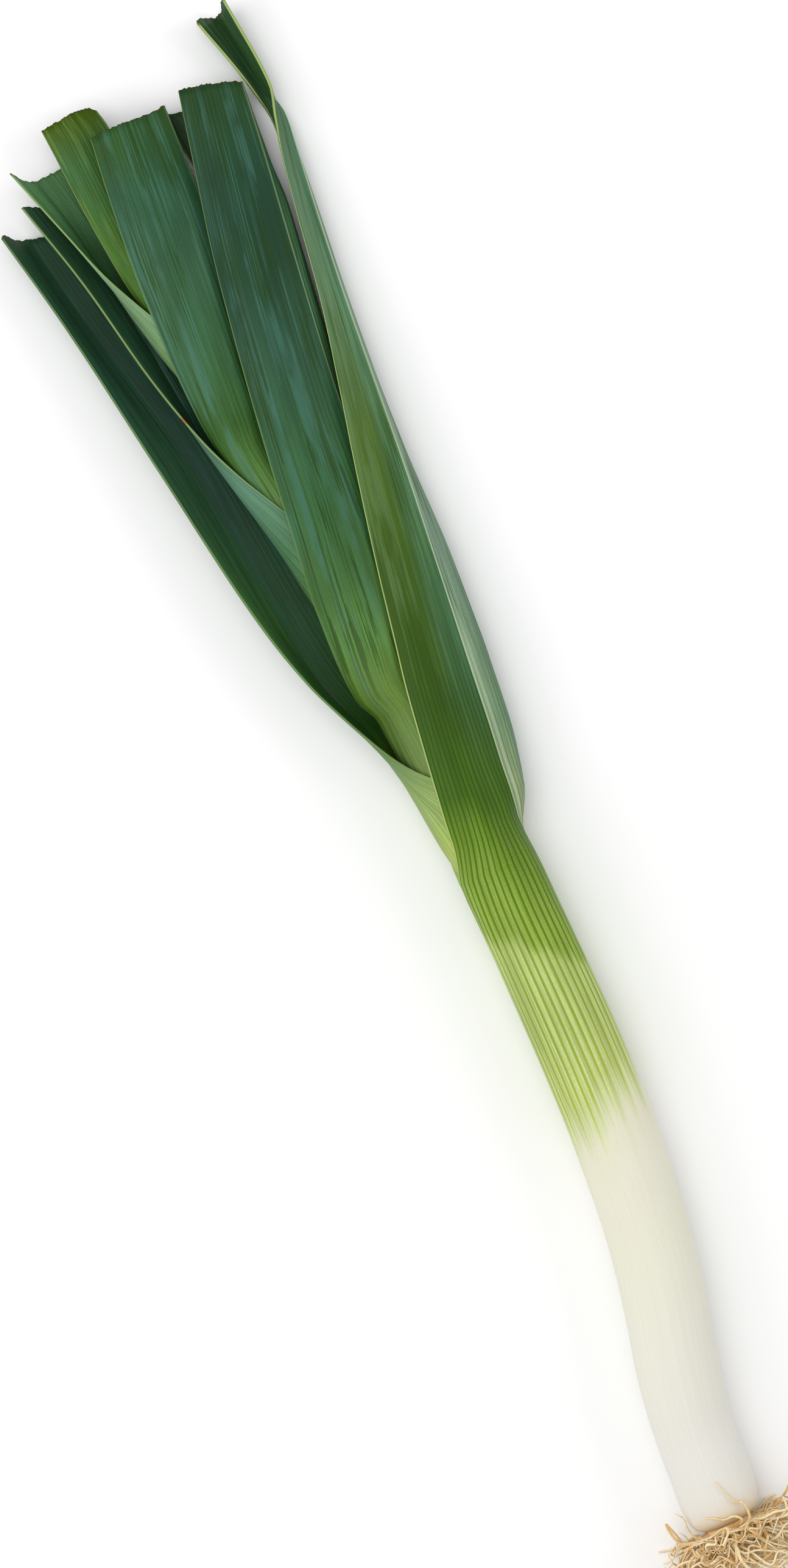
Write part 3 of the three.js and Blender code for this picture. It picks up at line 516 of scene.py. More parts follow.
LOOSE_TONE = 0.55
THICK_LUMPS, THIN_LUMPS, LOOSE_LUMPS, WRAP_LUMPS = 300, 400, 700, 900  # first seeds
THIN_ROOTS = 150
THIN_SEED = 4021
THIN_TIP = 0.2
THIN_TONES = 50  # first number for the tones of the thin roots
WRAP_ROOTS = 190
WRAP_TIP = 0.22
WRAP_TONES = 400
WRAP_STEPS = 9
WRAP_RISE = 0.35  # share of a wrapping root spent on the way out
WRAP_FOOT = 0.8  # where such a root starts, as a share of the plate's radius
WRAP_TURN = (0.5, 1.9)
WRAP_RADIUS = (11, 25)
WRAP_DEPTH = (0.5, 19)
WRAP_WAVE = 2.6  # play in its distance from the axis
WRAP_SWAY = 2.8  # play in its depth
WRAP_ROOM = 1.2
WRAP_LOWEST = 0.8
TONE_SEED = 900
# Loose roots that stray forward over the end of the shank: x, y, z
LOOSE_ROOTS = [
    [(-16, -1, 19), (-15, -2.5, 25), (-13.6, -4.4, 27.6), (-10.5, -4.9, 28.5), (-7.4, -4.3, 29),
     (-5.6, -1.8, 29.3), (-3.2, -1, 29.5), (0.4, 0.4, 29.7), (3.6, 1.6, 29.8)],
    [(-16, 0, 20), (-14.6, -0.8, 25.4), (-12.7, -1.6, 27.8), (-10.6, 0.6, 28.4), (-10.4, 4.4, 28.2),
     (-8.4, 7.6, 27.8), (-7.4, 10.2, 27)],
    [(-16, 12, 16), (-13, 16.5, 17), (-9, 17.6, 18.5), (-6, 17.3, 19.6), (-4, 18, 20), (-2.2, 19.5, 20)],
]


def park_miller(seed):
    """Draws between two numbers, by the same rule as for the solid roots."""
    state = seed

    def draw(low=0, high=1):
        nonlocal state
        state = (state * 16807) % 2147483647
        return low + (high - low) * (state / 2147483647)

    return draw


def root_path(draw, angle, steps=7, length=4.5, curl=0.95, radius=ROOT_RADIUS, swirl=0.5, foot=(0.35, 0.8)):
    """The points of one root, by the same rule as for the solid roots."""
    swirl = draw(-swirl, swirl)
    lean = draw(*ROOT_LEAN)
    outward = np.array([0, math.cos(angle), math.sin(angle)])
    heading = outward + (ROOT_START_BACK, 0, 0)
    points = [outward * PLATE_RADIUS * draw(*foot) + (PLATE_X - PLATE_DEPTH / 2, PLATE_Y, PLATE_Z)]
    for _ in range(steps):
        last = points[-1]
        outward = np.array([0, last[1] - PLATE_Y, last[2] - PLATE_Z])
        outward /= np.linalg.norm(outward)
        heading = heading + ROOT_OUTWARD * outward + swirl * np.array([0, -outward[2], outward[1]])
        heading = heading + (lean, 0, 0) + [draw(-curl, curl), draw(-curl, curl), draw(-curl, curl)]
        heading /= np.linalg.norm(heading)
        to = last + heading * length
        if math.hypot(to[1] - PLATE_Y, to[2] - PLATE_Z) < SHANK_RADIUS_KEPT:
            to[0] = min(to[0], PLATE_X - SHANK_ROOM)
        to[0] = max(to[0], ROOT_BACK)
        to[1] = min(max(to[1], ROOT_RIGHT), ROOT_LEFT)
        to[2] = min(max(to[2], radius + ROOT_LIFT), ROOT_TOP)
        points.append(to)
    return np.array(points)


def smooth_path(points, per_step):
    """Catmull-Rom curve through the points."""
    padded = np.vstack([2 * points[0] - points[1], points, 2 * points[-1] - points[-2]])
    out = []
    t = np.linspace(0, 1, per_step, endpoint=False)[:, None]
    for i in range(len(points) - 1):
        a, b, c, d = padded[i:i + 4]
        out.append(0.5 * (2 * b + (c - a) * t + (2 * a - 5 * b + 4 * c - d) * t ** 2
                          + (3 * b - a - 3 * c + d) * t ** 3))
    out.append(points[-1:])
    return np.vstack(out)


class Tubes:
    """Gathers closed tubes into one mesh."""

    def __init__(self):
        self.points, self.faces, self.tone = [], [], []
        self.count = 0

    def add(self, path, radius, tip, sides, tone, seed):
        """A closed tapering tube, slightly flat and uneven like a dried root."""
        n = len(path)
        tangent = np.gradient(path, axis=0)
        tangent /= np.linalg.norm(tangent, axis=1)[:, None]
        across = np.array([0.0, 0.3, 1.0])
        turn = 2 * np.pi * np.arange(sides) / sides
        rings = []
        for i in range(n):
            across = across - tangent[i] * across.dot(tangent[i])
            across /= np.linalg.norm(across)
            up = np.cross(tangent[i], across)
            share = i / (n - 1)
            lump = 1 + ROOT_LUMPS * float(value_noise(np.array(i * 0.9), seed))
            r = (radius + (tip - radius) * share ** ROOT_TAPER) * lump
            spin = turn + ROOT_TWIST * share
            ring = np.cos(spin)[:, None] * across + ROOT_FLAT * np.sin(spin)[:, None] * up
            rings.append(path[i] + r * ring)
        rings = np.array(rings)
        rings[..., 2] = np.maximum(rings[..., 2], ROOT_LOWEST)
        ids = self.count + np.arange(n * sides).reshape(n, sides)
        nxt = np.roll(ids, -1, axis=1)
        quads = np.stack([ids[:-1], nxt[:-1], nxt[1:], ids[1:]], -1).reshape(-1, 4)
        self.faces.extend(quads.tolist())
        self.faces.append(ids[0][::-1].tolist())
        self.faces.append(ids[-1].tolist())
        self.points.append(rings.reshape(-1, 3))
        self.tone.append(np.full(n * sides, tone))
        self.count += n * sides

    def mesh(self, name):
        marks = {"tone": np.concatenate(self.tone)}
        return add_piece(name, np.concatenate(self.points), self.faces, marks)


def wrap_path(draw):
    """A root that leaves the plate, then runs round the bunch in a wavy arc."""
    start = draw(0, 2 * math.pi)
    turn = draw(*WRAP_TURN) * (1 if draw() < 0.5 else -1)
    reach = draw(*WRAP_RADIUS)
    depth = draw(*WRAP_DEPTH)
    foot = PLATE_RADIUS * WRAP_FOOT
    path = []
    for k in range(WRAP_STEPS + 1):
        share = k / WRAP_STEPS
        opened = min(1, share / WRAP_RISE)
        radius = foot + (reach - foot) * math.sin(opened * math.pi / 2)
        radius += opened * draw(-WRAP_WAVE, WRAP_WAVE)
        angle = start + turn * share
        x = PLATE_X - SHANK_ROOM - depth * opened + opened * draw(-WRAP_SWAY, WRAP_SWAY)
        x = max(min(x, PLATE_X - WRAP_ROOM), ROOT_BACK)
        y = min(max(PLATE_Y + radius * math.cos(angle), ROOT_RIGHT), ROOT_LEFT)
        path.append((x, y, max(PLATE_Z + radius * math.sin(angle), WRAP_LOWEST)))
    return np.array(path)


def root_tone(i):
    return float(np.random.default_rng(TONE_SEED + i).uniform(0, 1))


def add_plate(tubes):
    """The root plate, a lumpy disc that rounds off at the back."""
    turn = 2 * np.pi * np.arange(PLATE_SIDES) / PLATE_SIDES
    lump = 1 + 0.05 * value_noise(turn * 3, 33)
    points = [np.stack([np.full(PLATE_SIDES, PLATE_X - depth),
                        PLATE_Y + PLATE_RADIUS * share * lump * np.cos(turn),
                        PLATE_Z + PLATE_RADIUS * share * lump * np.sin(turn)], -1)
              for depth, share in PLATE_PROFILE]
    count = len(PLATE_PROFILE) * PLATE_SIDES
    ids = tubes.count + np.arange(count).reshape(-1, PLATE_SIDES)
    nxt = np.roll(ids, -1, axis=1)
    tubes.faces.extend(np.stack([ids[:-1], ids[1:], nxt[1:], nxt[:-1]], -1).reshape(-1, 4).tolist())
    tubes.faces.append(ids[0].tolist())
    tubes.faces.append(ids[-1][::-1].tolist())
    tubes.points.append(np.concatenate(points))
    tubes.tone.append(np.full(count, PLATE_SHADE_TONE))
    tubes.count += count


def roots_piece():
    tubes = Tubes()
    draw = park_miller(ROOT_SEED)
    for i in range(ROOT_COUNT):
        angle = 2 * math.pi * (i + ROOT_PLAY * draw()) / ROOT_COUNT
        path = smooth_path(root_path(draw, angle), 6)
        tubes.add(path, *THICK_SIZE, 7, root_tone(i), THICK_LUMPS + i)
    extra = park_miller(THIN_SEED)
    for i in range(THIN_ROOTS):
        angle = 2 * math.pi * extra()
        steps = 6 + int(6 * extra())
        length = 2.0 + 1.7 * extra()
        thick = 0.36 + 0.34 * extra()
        path = root_path(extra, angle, steps, length, 1.7, 0.45, 1.3, (0.3, 1.0))
        tubes.add(smooth_path(path, 4), thick, THIN_TIP, 5, root_tone(i + THIN_TONES), THIN_LUMPS + i)
    for i in range(WRAP_ROOTS):
        thick = 0.34 + 0.4 * extra()
        path = smooth_path(wrap_path(extra), 4)
        tubes.add(path, thick, WRAP_TIP, 5, root_tone(i + WRAP_TONES), WRAP_LUMPS + i)
    for i, points in enumerate(LOOSE_ROOTS):
        path = smooth_path(np.array(points, float), 9)
        tubes.add(path, *LOOSE_SIZE, 7, LOOSE_TONE, LOOSE_LUMPS + i)
    add_plate(tubes)
    return tubes.mesh("roots_fine")


def rgb(code):
    """Linear colour of a hex code."""
    values = [int(code[i:i + 2], 16) / 255 for i in (1, 3, 5)]
    return [v / 12.92 if v <= 0.04045 else ((v + 0.055) / 1.055) ** 2.4 for v in values] + [1]


# The studio light brightens a colour by this factor, and gloss adds this much to it
LIGHT_GAIN = 1.12
GLOSS_LIFT = 0.01
DARKEST = 0.0015


def skin(code):
    """The surface colour that comes out as the named colour in the studio's light."""
    return [max((v - GLOSS_LIFT) / LIGHT_GAIN, DARKEST) for v in rgb(code)[:3]] + [1]


class Value:
    """A number or colour worked out by nodes. Sums and products of numbers add nodes."""

    def __init__(self, graph, socket):
        self.graph = graph
        self.socket = socket

    def __add__(self, other):
        return self.graph.math("ADD", self, other)

    def __mul__(self, other):
        return self.graph.math("MULTIPLY", self, other)

    def __sub__(self, other):
        return self.graph.math("SUBTRACT", self, other)

    def __rsub__(self, other):
        return self.graph.math("SUBTRACT", other, self)

    def __truediv__(self, other):
        return self.graph.math("DIVIDE", self, other)

    def __pow__(self, other):
        return self.graph.math("POWER", self, other)

    __radd__ = __add__

    def step(self, low, high, to_low=0.0, to_high=1.0):
        """Goes smoothly from to_low to to_high while the value goes from low to high."""
        node = self.graph.node("MapRange", self, low, high, to_low, to_high)
        node.interpolation_type = "SMOOTHSTEP"
        return Value(self.graph, node.outputs[0])


class Graph:
    """Short ways to add nodes to a material."""

    def __init__(self, name):
        self.material = bpy.data.materials.new(name)
        self.material.use_nodes = True
        self.tree = self.material.node_tree
        self.shader = self.tree.nodes["Principled BSDF"]

    def put(self, socket, value):
        if isinstance(value, Value):
            self.tree.links.new(value.socket, socket)
        else:
            socket.default_value = value

    def node(self, kind, *values):
        """A new node, with values for its first inputs."""
        node = self.tree.nodes.new("ShaderNode" + kind)
        for socket, value in zip(node.inputs, values):
            self.put(socket, value)
        return node

    def math(self, operation, *values):
        node = self.node("Math", *values)
        node.operation = operation
        return Value(self, node.outputs[0])

    def attribute(self, name):
        node = self.node("Attribute")
        node.attribute_name = name
        return Value(self, node.outputs["Fac"])

    def scale(self, colour, factor):
        node = self.node("VectorMath", colour)
        node.operation = "SCALE"
        self.put(node.inputs["Scale"], factor)
        return Value(self, node.outputs[0])

    def vector(self, x, y, z):
        return Value(self, self.node("CombineXYZ", x, y, z).outputs[0])

    def noise(self, vector, scale, detail):
        node = self.node("TexNoise", vector)
        node.inputs["Scale"].default_value = scale
        node.inputs["Detail"].default_value = detail
        return Value(self, node.outputs["Fac"])

    def ramp(self, value, stops, low, high):
        """Colours at places along a line, as pairs of place and hex code."""
        node = self.node("ValToRGB", (value - low) / (high - low))
        elements = node.color_ramp.elements
        while len(elements) < len(stops):
            elements.new(0.5)
        for element, (place, code) in zip(elements, stops):
            element.position = (place - low) / (high - low)
            element.color = skin(code)
        return Value(self, node.outputs[0])

    def mix(self, share, a, b):
        node = self.node("Mix", share)
        node.data_type = "RGBA"
        self.put(node.inputs[6], a)
        self.put(node.inputs[7], b)
        return Value(self, node.outputs[2])

    def bump(self, height, strength, distance):
        node = self.node("Bump")
        self.put(node.inputs["Height"], height)
        node.inputs["Strength"].default_value = strength
        node.inputs["Distance"].default_value = distance
        self.tree.links.new(node.outputs[0], self.shader.inputs["Normal"])


LEAF_START, LEAF_FINISH = -20, 580  # the stretch that the leaf colours are given for
ACROSS_SCALE = 30  # width of a leaf in the units of its noises
BAND_PLAY, BAND_FRAY = 26, 18  # how unevenly bands of colour end, broadly and in fine streaks
LEAF_ROUGH = (0.38, 0.55)
LEAF_SPECULAR = 0.14
RIM_WIDTH = 0.009
SPOT_LENGTH, SPOT_WIDTH = 1.5, 0.05
SPOT_COLOUR = "#b4622c"
DRY_COLOUR = "#4d4b26"
DOT_COLOUR = "#bccf78"


class LeafSkin(Graph):
    """The skin of one leaf, in layers. Places along it are in millimetres, and places across it run
    from -1 at the front margin over 0 at the keel to 1 at the back margin."""

    def __init__(self, name, seed):
        super().__init__(name)
        self.seed = seed
        self.along, self.across = self.attribute("along"), self.attribute("across")
        self.vein, self.tip = self.attribute("vein"), self.attribute("tip")
        self.away = self.math("ABSOLUTE", self.across)
        self.fine = self.streaks(1.5, 0.010, 0)
        self.thin = self.streaks(3.4, 0.004, 51, 2)
        self.broad = self.streaks(0.33, 0.006, 9, 2)
        self.cloud = self.streaks(0.16, 0.03, 17)
        self.patch = self.streaks(0.22, 0.022, 23)
        self.speck = self.streaks(3, 0.8, 31)
        self.split = self.across.step(-0.015, 0.015)
        self.ahead = 1 - self.split
        self.facing = self.attribute("inside").step(0.4, 0.6)
        self.band = self.uneven_place()
        self.green = self.band.step(126, 160)

    def streaks(self, width, length, offset, detail=3.0):
        """Noise drawn out along the leaf."""
        across = self.vein * ACROSS_SCALE * width
        return self.noise(self.vector(across, self.along * length, self.seed + offset), 1, detail)

    def uneven_place(self):
        """The place along the leaf, moved so that bands of colour end unevenly."""
        shift = (self.broad - 0.5) * BAND_PLAY + (self.fine - 0.5) * BAND_FRAY
        skew = (self.away - 0.5) * self.along.step(160, 200, 16, -26)
        return self.along + (shift + skew) * (self.along.step(30, 90) * self.along.step(275, 255))

    def bands(self, stops):
        return self.ramp(self.band, stops, LEAF_START, LEAF_FINISH)

    def wings(self, front, back):
        """The colours of the wing in front of the keel and of the one behind it."""
        return self.mix(self.split, self.bands(front), self.bands(back))

    def over(self, colour, share, code):
        return self.mix(share, colour, skin(code))

    def cooled(self, colour, code, width, share):
        """Bluer in front of the keel."""
        near = self.away.step(width, width * 0.15) * self.along.step(255, 330) * self.ahead
        return self.over(colour, near * self.broad.step(0.35, 0.6, 0.55, 1) * share, code)

    def shaded_underside(self, colour, code, keel):
        """Painted shade on the underside of the wing behind the keel, and a painted sheen in a pale strip
        beside the keel.
        """
        low = self.across.step(0.1, 0.32) * self.along.step(235, 262)
        colour = self.over(colour, low * 0.65, code)
        keel_sheen = self.across.step(0.11, 0.02) * self.along.step(345, 290) * self.split
        return self.over(colour, keel_sheen * self.along.step(240, 256, 0, 0.6), keel)

    def pocket_shaded(self, colour, code, end, share):
        """Painted shade beside the front margin, up to a place along the leaf, where the wing comes out of
        the next leaf's sheath.
        """
        pocket_shade_mask = self.away.step(0.45, 0.95) * self.along.step(end, end - 45) * self.ahead
        return self.over(colour, pocket_shade_mask * self.fine.step(0.4, 0.6, 1, 0.55) * share, code)

    def streaked(self, colour, contrast):
        """Fine streaks along the leaf, thin crisp ones and a soft mottle."""
        depth = (self.green * 0.88 + 0.12) * contrast
        grain = self.fine.step(0.32, 0.68, -1, 1) * 0.7 + self.speck.step(0.3, 0.7, -1, 1) * 0.3
        colour = self.scale(colour, 1 + grain * depth)
        crisp = self.thin.step(0.47, 0.36) * (self.green * 1.6)
        colour = self.scale(colour, 1 - crisp * contrast)
        mottle = self.cloud.step(0.36, 0.64, -1, 1) * (self.green * 0.09)
        return self.scale(colour, 1 + mottle)

    def lined(self, colour, lines, share):
        """Lines between the ribs of the sheath, and small pale dots."""
        turns = self.vein * RIBS + (self.broad - 0.5) * 0.5
        wave = self.math("COSINE", turns * (2 * math.pi))
        shown = self.band.step(128, 150) * self.along.step(370, 260) * (1 - self.split * 0.55)
        groove = wave.step(-0.2, -0.75) * (shown * (1 - self.facing))
        colour = self.mix(groove * share, colour, self.bands(lines))
        dots = self.streaks(6.5, 2.4, 67, 2).step(0.54, 0.62)
        dots = dots * (self.band.step(200, 212) * self.along.step(262, 240)) * (1 - groove * 0.8)
        return self.over(colour, dots * 0.3, DOT_COLOUR)

    def bloomed(self, colour, code, share):
        """Long patches where the bloom lies thick."""
        thick = (self.broad + self.fine * 0.4).step(0.66, 0.8)
        return self.over(colour, thick * self.cloud.step(0.4, 0.58) * self.along.step(270, 350) * share, code)

    def rubbed(self, colour, code, share):
        """Patches with streaky edges where the bloom is rubbed off."""
        torn = self.patch + (self.fine - 0.5) * 0.8 + (self.thin - 0.5) * 0.45
        return self.over(colour, torn.step(0.4, 0.385) * self.along.step(290, 340) * share, code)

    def edged(self, colour, keel, keel_highlight_share, margin, margin_share, rim_start):
        """A painted highlight along the keel, the pale lines along the margins, and the dry brown edge of the
        cut.
        """
        keel_highlight = self.away.step(0.016, 0.005) * self.along.step(235, 275) * (1 - self.facing)
        colour = self.over(colour, keel_highlight * keel_highlight_share, keel)
        rim = self.away.step(rim_start, rim_start + RIM_WIDTH) * self.along.step(232, 245)
        colour = self.over(colour, rim * margin_share, margin)
        return self.over(colour, self.tip.step(1.0, 0.1) * self.speck.step(0.35, 0.6, 0.15, 0.7), DRY_COLOUR)

    def spotted(self, colour, along, across):
        """One small brown spot."""
        far = ((self.along - along) / SPOT_LENGTH) ** 2 + ((self.across - across) / SPOT_WIDTH) ** 2
        return self.over(colour, far.step(1, 0.5) * 0.8, SPOT_COLOUR)


def leaf_material(name, seed, front, back, inside, inside_back=None, lines=None, line_share=0.92,
                  keel="#9fb784", keel_highlight_share=0.35, margin="#9db26a", margin_share=0.6, rim_start=0.985,
                  bloom="#6d9488", bloom_share=0.25, rub="#3b5523", rub_share=0.5, contrast=0.18,
                  cool=None, underside_shade=None, pocket_shade=None, spot=None):
    """front and back colour the outer face along the leaf, before and behind the keel, and inside and
    inside_back the inner face. keel is the colour of a painted highlight along the keel. lines is the colour
    between the ribs of a sheath, bloom that of thick bloom and rub that where it is worn off. The last four
    are for single leaves: a bluer strip before the keel, painted shade on the underside behind the keel
    with a painted sheen beside it, painted shade beside the front margin, and a brown spot."""
    g = LeafSkin(name, seed)
    outer = g.wings(front, back)
    if cool:
        outer = g.cooled(outer, *cool)
    # painted shade on the underside behind the keel, with a painted sheen beside the keel
    if underside_shade:
        outer = g.shaded_underside(outer, underside_shade, keel)
    # painted shade beside the front margin, where the wing comes out of the next leaf's sheath
    if pocket_shade:
        outer = g.pocket_shaded(outer, *pocket_shade)
    colour = g.mix(g.facing, outer, g.wings(inside, inside_back or inside))
    colour = g.streaked(colour, contrast)
    if lines:
        colour = g.lined(colour, lines, line_share)
    colour = g.bloomed(colour, bloom, bloom_share)
    colour = g.rubbed(colour, rub, rub_share)
    colour = g.edged(colour, keel, keel_highlight_share, margin, margin_share, rim_start)
    if spot:
        colour = g.spotted(colour, *spot)
    g.put(g.shader.inputs["Base Color"], colour)
    g.put(g.shader.inputs["Roughness"], g.fine.step(0.3, 0.7, *LEAF_ROUGH))
    g.shader.inputs["Specular IOR Level"].default_value = LEAF_SPECULAR
    g.bump(g.fine + g.broad * 0.6, 0.25, 0.0003)
    return g.material


# Colours along the leek: place in millimetres and the colour there
PALE = [(-20, "#d9b98a"), (-13, "#e4cfae"), (-9.5, "#e9ddc8"), (-5, "#e9e4da"), (10, "#e8e6de"),
        (40, "#e9e7da"), (90, "#e8e7d4"), (115, "#e9e6d3"), (132, "#e6e3ca"), (142, "#d5dba8"),
        (152, "#c5d089"), (175, "#bcca7e"), (202, "#b8c97b"), (206, "#95af4a"), (225, "#8caa40"),
        (240, "#71922b")]
LINES = [(-20, "#e4e3c8"), (130, "#e4e3c8"), (142, "#c3d184"), (152, "#a3b642"), (175, "#8aa436"),
         (202, "#849f33"), (206, "#62811d"), (225, "#567516"), (240, "#486a14"), (260, "#385813"),
         (300, "#2c4a11"), (350, "#335013")]
SHEATH = [(200, "#d3dba4"), (235, "#b6c77a")]
SHEATH_LINES = [(200, "#b9c878"), (235, "#9fb558"), (255, "#8ca551"), (280, "#678544"), (330, "#43623c")]
MATERIALS = {
    1: dict(
        front=PALE + [(262, "#4c701f"), (300, "#3d5d1d"), (350, "#44611f"), (400, "#557232"),
            (450, "#62835c"), (490, "#648466"), (550, "#4c6c4a")],
        # the pale silvery greens behind the keel are painted sheen, where the wing turns away at a grazing
        # angle
        back=PALE + [(262, "#9faf83"), (285, "#7e9b76"), (350, "#7f9983"), (450, "#829b87"),
            (550, "#6d8a70")],
        inside=SHEATH + [(280, "#3c5f34"), (500, "#3c613c"), (564, "#3c593c")], lines=LINES, keel="#b9cba8",
        keel_highlight_share=0.75, margin="#b4c878", margin_share=0.8, rim_start=0.977, underside_shade="#557d5e",
        bloom="#86a584", bloom_share=0.16, rub="#36541a", rub_share=0.55, contrast=0.2,
        cool=("#4b7d62", 0.55, 0.6)),
    2: dict(
        front=SHEATH + [(255, "#adc062"), (270, "#99b26c"), (290, "#6d8d5a"), (320, "#4b6d45"),
            (520, "#3b5b42")],
        back=SHEATH + [(255, "#adc269"), (270, "#99b26c"), (300, "#5d7d50"), (520, "#3b5b42")],
        # the inner face before the keel is lighter round 350 mm: painted light against the shade of the
        # leaves above
        inside=SHEATH + [(270, "#6f8f40"), (300, "#48743c"), (350, "#5a8a4e"), (400, "#466c4c"),
            (450, "#3f634b"), (520, "#37563c")],
        inside_back=SHEATH + [(270, "#6f8f40"), (300, "#345c26"), (350, "#2e5834"), (400, "#264736"),
            (450, "#264736"), (520, "#2c4c32")], bloom="#2f5a54", bloom_share=0.45, rub="#1f3a18",
        rub_share=0.4, margin="#86a45c", margin_share=0.45, lines=SHEATH_LINES, line_share=0.5),
    3: dict(
        front=SHEATH + [(290, "#789650"), (310, "#66843a"), (330, "#5f8945"), (350, "#4a713a"),
            (380, "#3e673b"), (400, "#3f6843"), (430, "#395e44"), (470, "#2a4934"), (500, "#2b4b37"),
            (530, "#2e4c2c")],
        back=SHEATH + [(290, "#789650"), (340, "#4c733e"), (540, "#33533e")],
        inside=SHEATH + [(310, "#4c6d35"), (350, "#2f4a2a"), (540, "#29422a")], bloom="#4b7a6e",
        bloom_share=0.46, rub="#2c4719", rub_share=0.65, margin="#8ba860", margin_share=0.45,
        pocket_shade=("#3c5418", 345, 0.75)),
    4: dict(
        front=SHEATH + [(340, "#7fa05c"), (358, "#5d8556"), (370, "#558058"), (400, "#6f9a7e"),
            (420, "#6b947b"), (450, "#4b7058"), (525, "#44664c")],
        back=SHEATH + [(340, "#7fa05c"), (400, "#4b7058"), (525, "#44664c")],
        inside=SHEATH + [(340, "#4c6d35"), (380, "#3e5f38"), (450, "#385f42"), (520, "#3c5c42")],
        inside_back=SHEATH + [(340, "#4c6d35"), (380, "#2c4a2c"), (450, "#264634"), (520, "#2c4a36")],
        bloom="#5d8a7c", bloom_share=0.3, rub="#2b4a2c", rub_share=0.3, spot=(430, -1.0)),
    5: dict(
        front=SHEATH + [(390, "#6d9450"), (405, "#52793a"), (420, "#406631"), (450, "#3f6843"),
            (480, "#3e6446"), (510, "#375f44"), (530, "#385d31")],
        back=SHEATH + [(390, "#6d9450"), (430, "#436b48"), (530, "#396147")],
        inside=SHEATH + [(390, "#4c6d35"), (430, "#2f4a2a"), (540, "#29422a")], bloom="#527f72",
        bloom_share=0.46, rub="#304d20", rub_share=0.65, margin="#8ba860", margin_share=0.45,
        pocket_shade=("#35551c", 430, 0.5)),
    6: dict(
        front=SHEATH + [(430, "#7fa45c"), (460, "#7da070"), (490, "#8fb388"), (530, "#5c8058")],
        back=SHEATH + [(430, "#7fa45c"), (470, "#5c8058"), (530, "#4b7058")],
        inside=SHEATH + [(430, "#4c6d35"), (460, "#3c6135"), (500, "#3e683e"), (520, "#598654"),
            (535, "#598653")],
        inside_back=SHEATH + [(430, "#4c6d35"), (460, "#3c5f36"), (500, "#385d39"), (520, "#4f7a4b"),
            (535, "#548050")], bloom="#5f8574", bloom_share=0.2, rub="#37592b", rub_share=0.35),
    7: dict(
        front=SHEATH + [(446, "#6f9a48"), (470, "#5a8236"), (500, "#446b2b"), (530, "#457041"),
            (545, "#475f12")],
        back=SHEATH + [(446, "#6f9a48"), (500, "#47703c"), (545, "#44663a")],
        inside=SHEATH + [(446, "#4c6d35"), (480, "#2b4526"), (545, "#2b4526")], bloom="#7d9c52",
        bloom_share=0.3, rub="#3f5c1a", rub_share=0.6),
}


def root_material():
    g = Graph("dry_root")
    tone = g.attribute("tone")
    place = Value(g, g.node("TexCoord").outputs["Object"])
    cloud = g.noise(place, 180, 3)
    fine = g.noise(place, 900, 3)
    mixed = tone * 0.55 + cloud * 0.55
    stops = [(0.15, "#fff3d8"), (0.42, "#fdeac0"), (0.62, "#f7dca8"), (0.8, "#e6bb7e"), (1.0, "#b3824c")]
    colour = g.ramp(mixed, stops, 0, 1.1)
    colour = g.mix(fine.step(0.52, 0.75) * 0.35, colour, skin("#b07c45"))
    g.put(g.shader.inputs["Base Color"], colour)
    g.shader.inputs["Roughness"].default_value = 0.75
    g.shader.inputs["Specular IOR Level"].default_value = 0.25
    g.bump(fine, 0.4, 0.0003)
    return g.material


def finish_piece(piece, material, node):
    piece.data.materials.append(material)
    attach(piece, "root")
    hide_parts(node)


LEAF_SEED = 31.0
for number in LEAVES:
    look = leaf_material(f"leaf_{number}_skin", number * LEAF_SEED, **MATERIALS[number])
    if number == 1:
        finish_piece(leaf_piece(1), look, "shank_leaf_1")
    else:
        finish_piece(leaf_piece(number), look, f"leaf_{number}")
finish_piece(roots_piece(), root_material(), "roots")

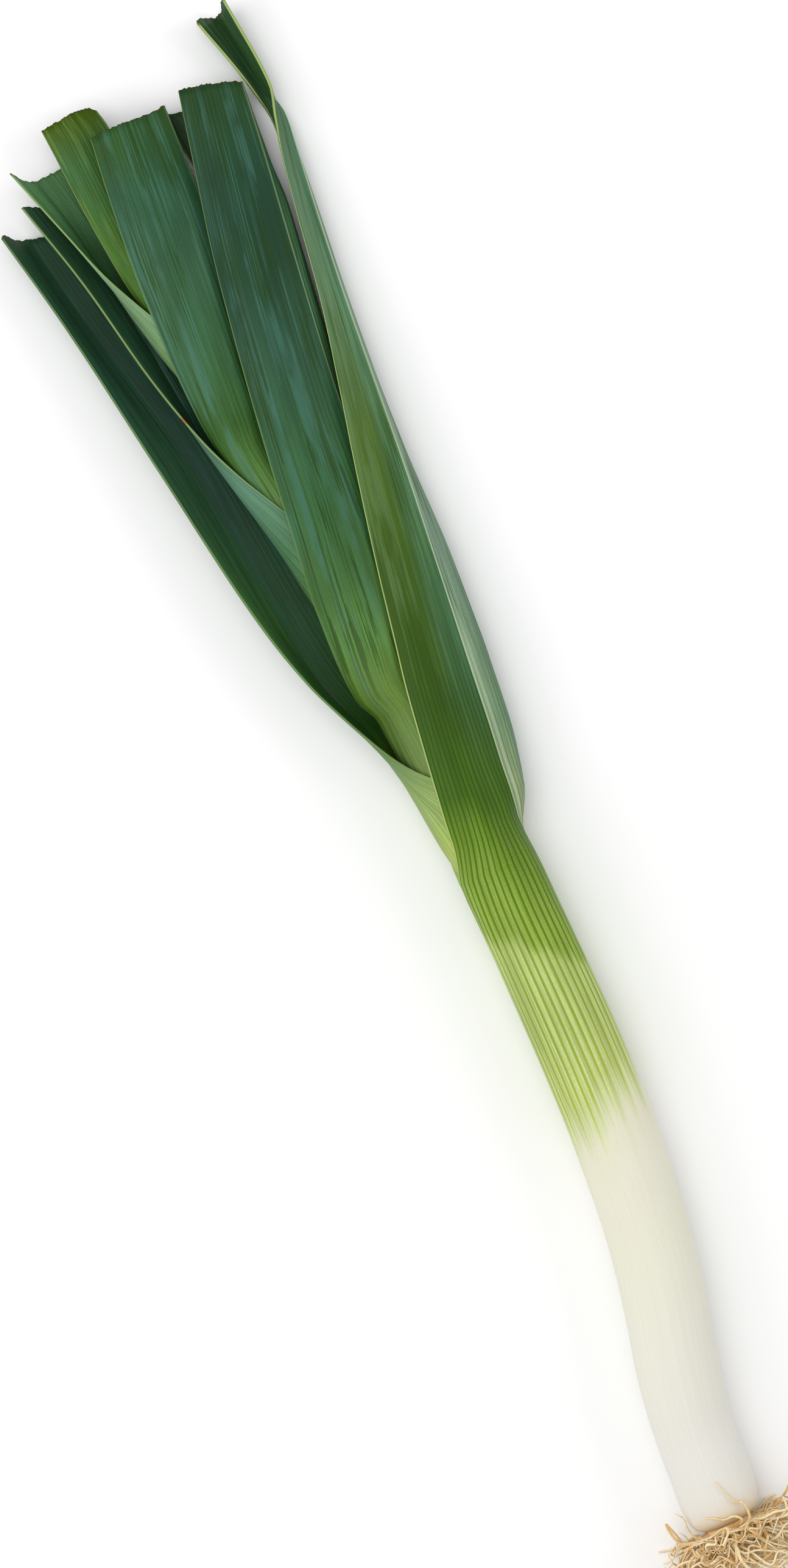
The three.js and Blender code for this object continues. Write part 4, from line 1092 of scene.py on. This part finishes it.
# Floor, light and camera
FLOOR_HALF = 3
FLOOR_DROP = 0.0002  # room between the floor and the leek
corners = [(FLOOR_HALF * x, FLOOR_HALF * y, 0) for x, y in ((-1, -1), (1, -1), (1, 1), (-1, 1))]
floor_mesh = bpy.data.meshes.new("floor")
floor_mesh.from_pydata(corners, [], [(0, 1, 2, 3)])
floor = add_object("floor", floor_mesh)
floor.location.z = -FLOOR_DROP
floor_look = Graph("pale_floor")
floor_look.shader.inputs["Base Color"].default_value = (0.93, 0.93, 0.93, 1)
floor_look.shader.inputs["Roughness"].default_value = 0.9
floor_look.shader.inputs["Specular IOR Level"].default_value = 0.1
floor_mesh.materials.append(floor_look.material)


def softbox(name, place, size, energy):
    light = bpy.data.lights.new(name, "AREA")
    light.shape = "SQUARE"
    light.size = size
    light.energy = energy
    lamp = add_object(name, light)
    lamp.location = place
    lamp.rotation_euler = (-lamp.location.normalized()).to_track_quat("-Z", "Y").to_euler()


softbox("sky_box", (0.5, 0.5, 2.4), 2.2, 30)
softbox("side_box_left", (0.3, 1.8, 1.2), 1.2, 12)
softbox("side_box_right", (-0.2, -1.8, 1.2), 1.2, 10)
world = bpy.data.worlds.new("studio")
world.use_nodes = True
background = world.node_tree.nodes["Background"]
background.inputs[0].default_value = (1, 1, 1, 1)
background.inputs[1].default_value = 0.55
bpy.context.scene.world = world
bpy.context.scene.view_settings.view_transform = "Standard"

CAMERA_HEIGHT = 2.5
SHARP_HEIGHT = 0.015  # height over the floor at which VIEW_HEIGHT holds
VIEW_CENTRE = (0.0162, 0.0065)
VIEW_HEIGHT = 0.5667  # length of the floor that the frame covers
SENSOR = 36
TILT = math.radians(24)  # the leek's turn in the frame
camera_data = bpy.data.cameras.new("camera")
camera_data.sensor_width = SENSOR
camera_data.lens = SENSOR * (CAMERA_HEIGHT - SHARP_HEIGHT) / VIEW_HEIGHT
camera = add_object("camera", camera_data)
camera.location = (*VIEW_CENTRE, CAMERA_HEIGHT)
camera.rotation_euler = (0, 0, -(math.pi / 2 + TILT))
bpy.context.scene.camera = camera
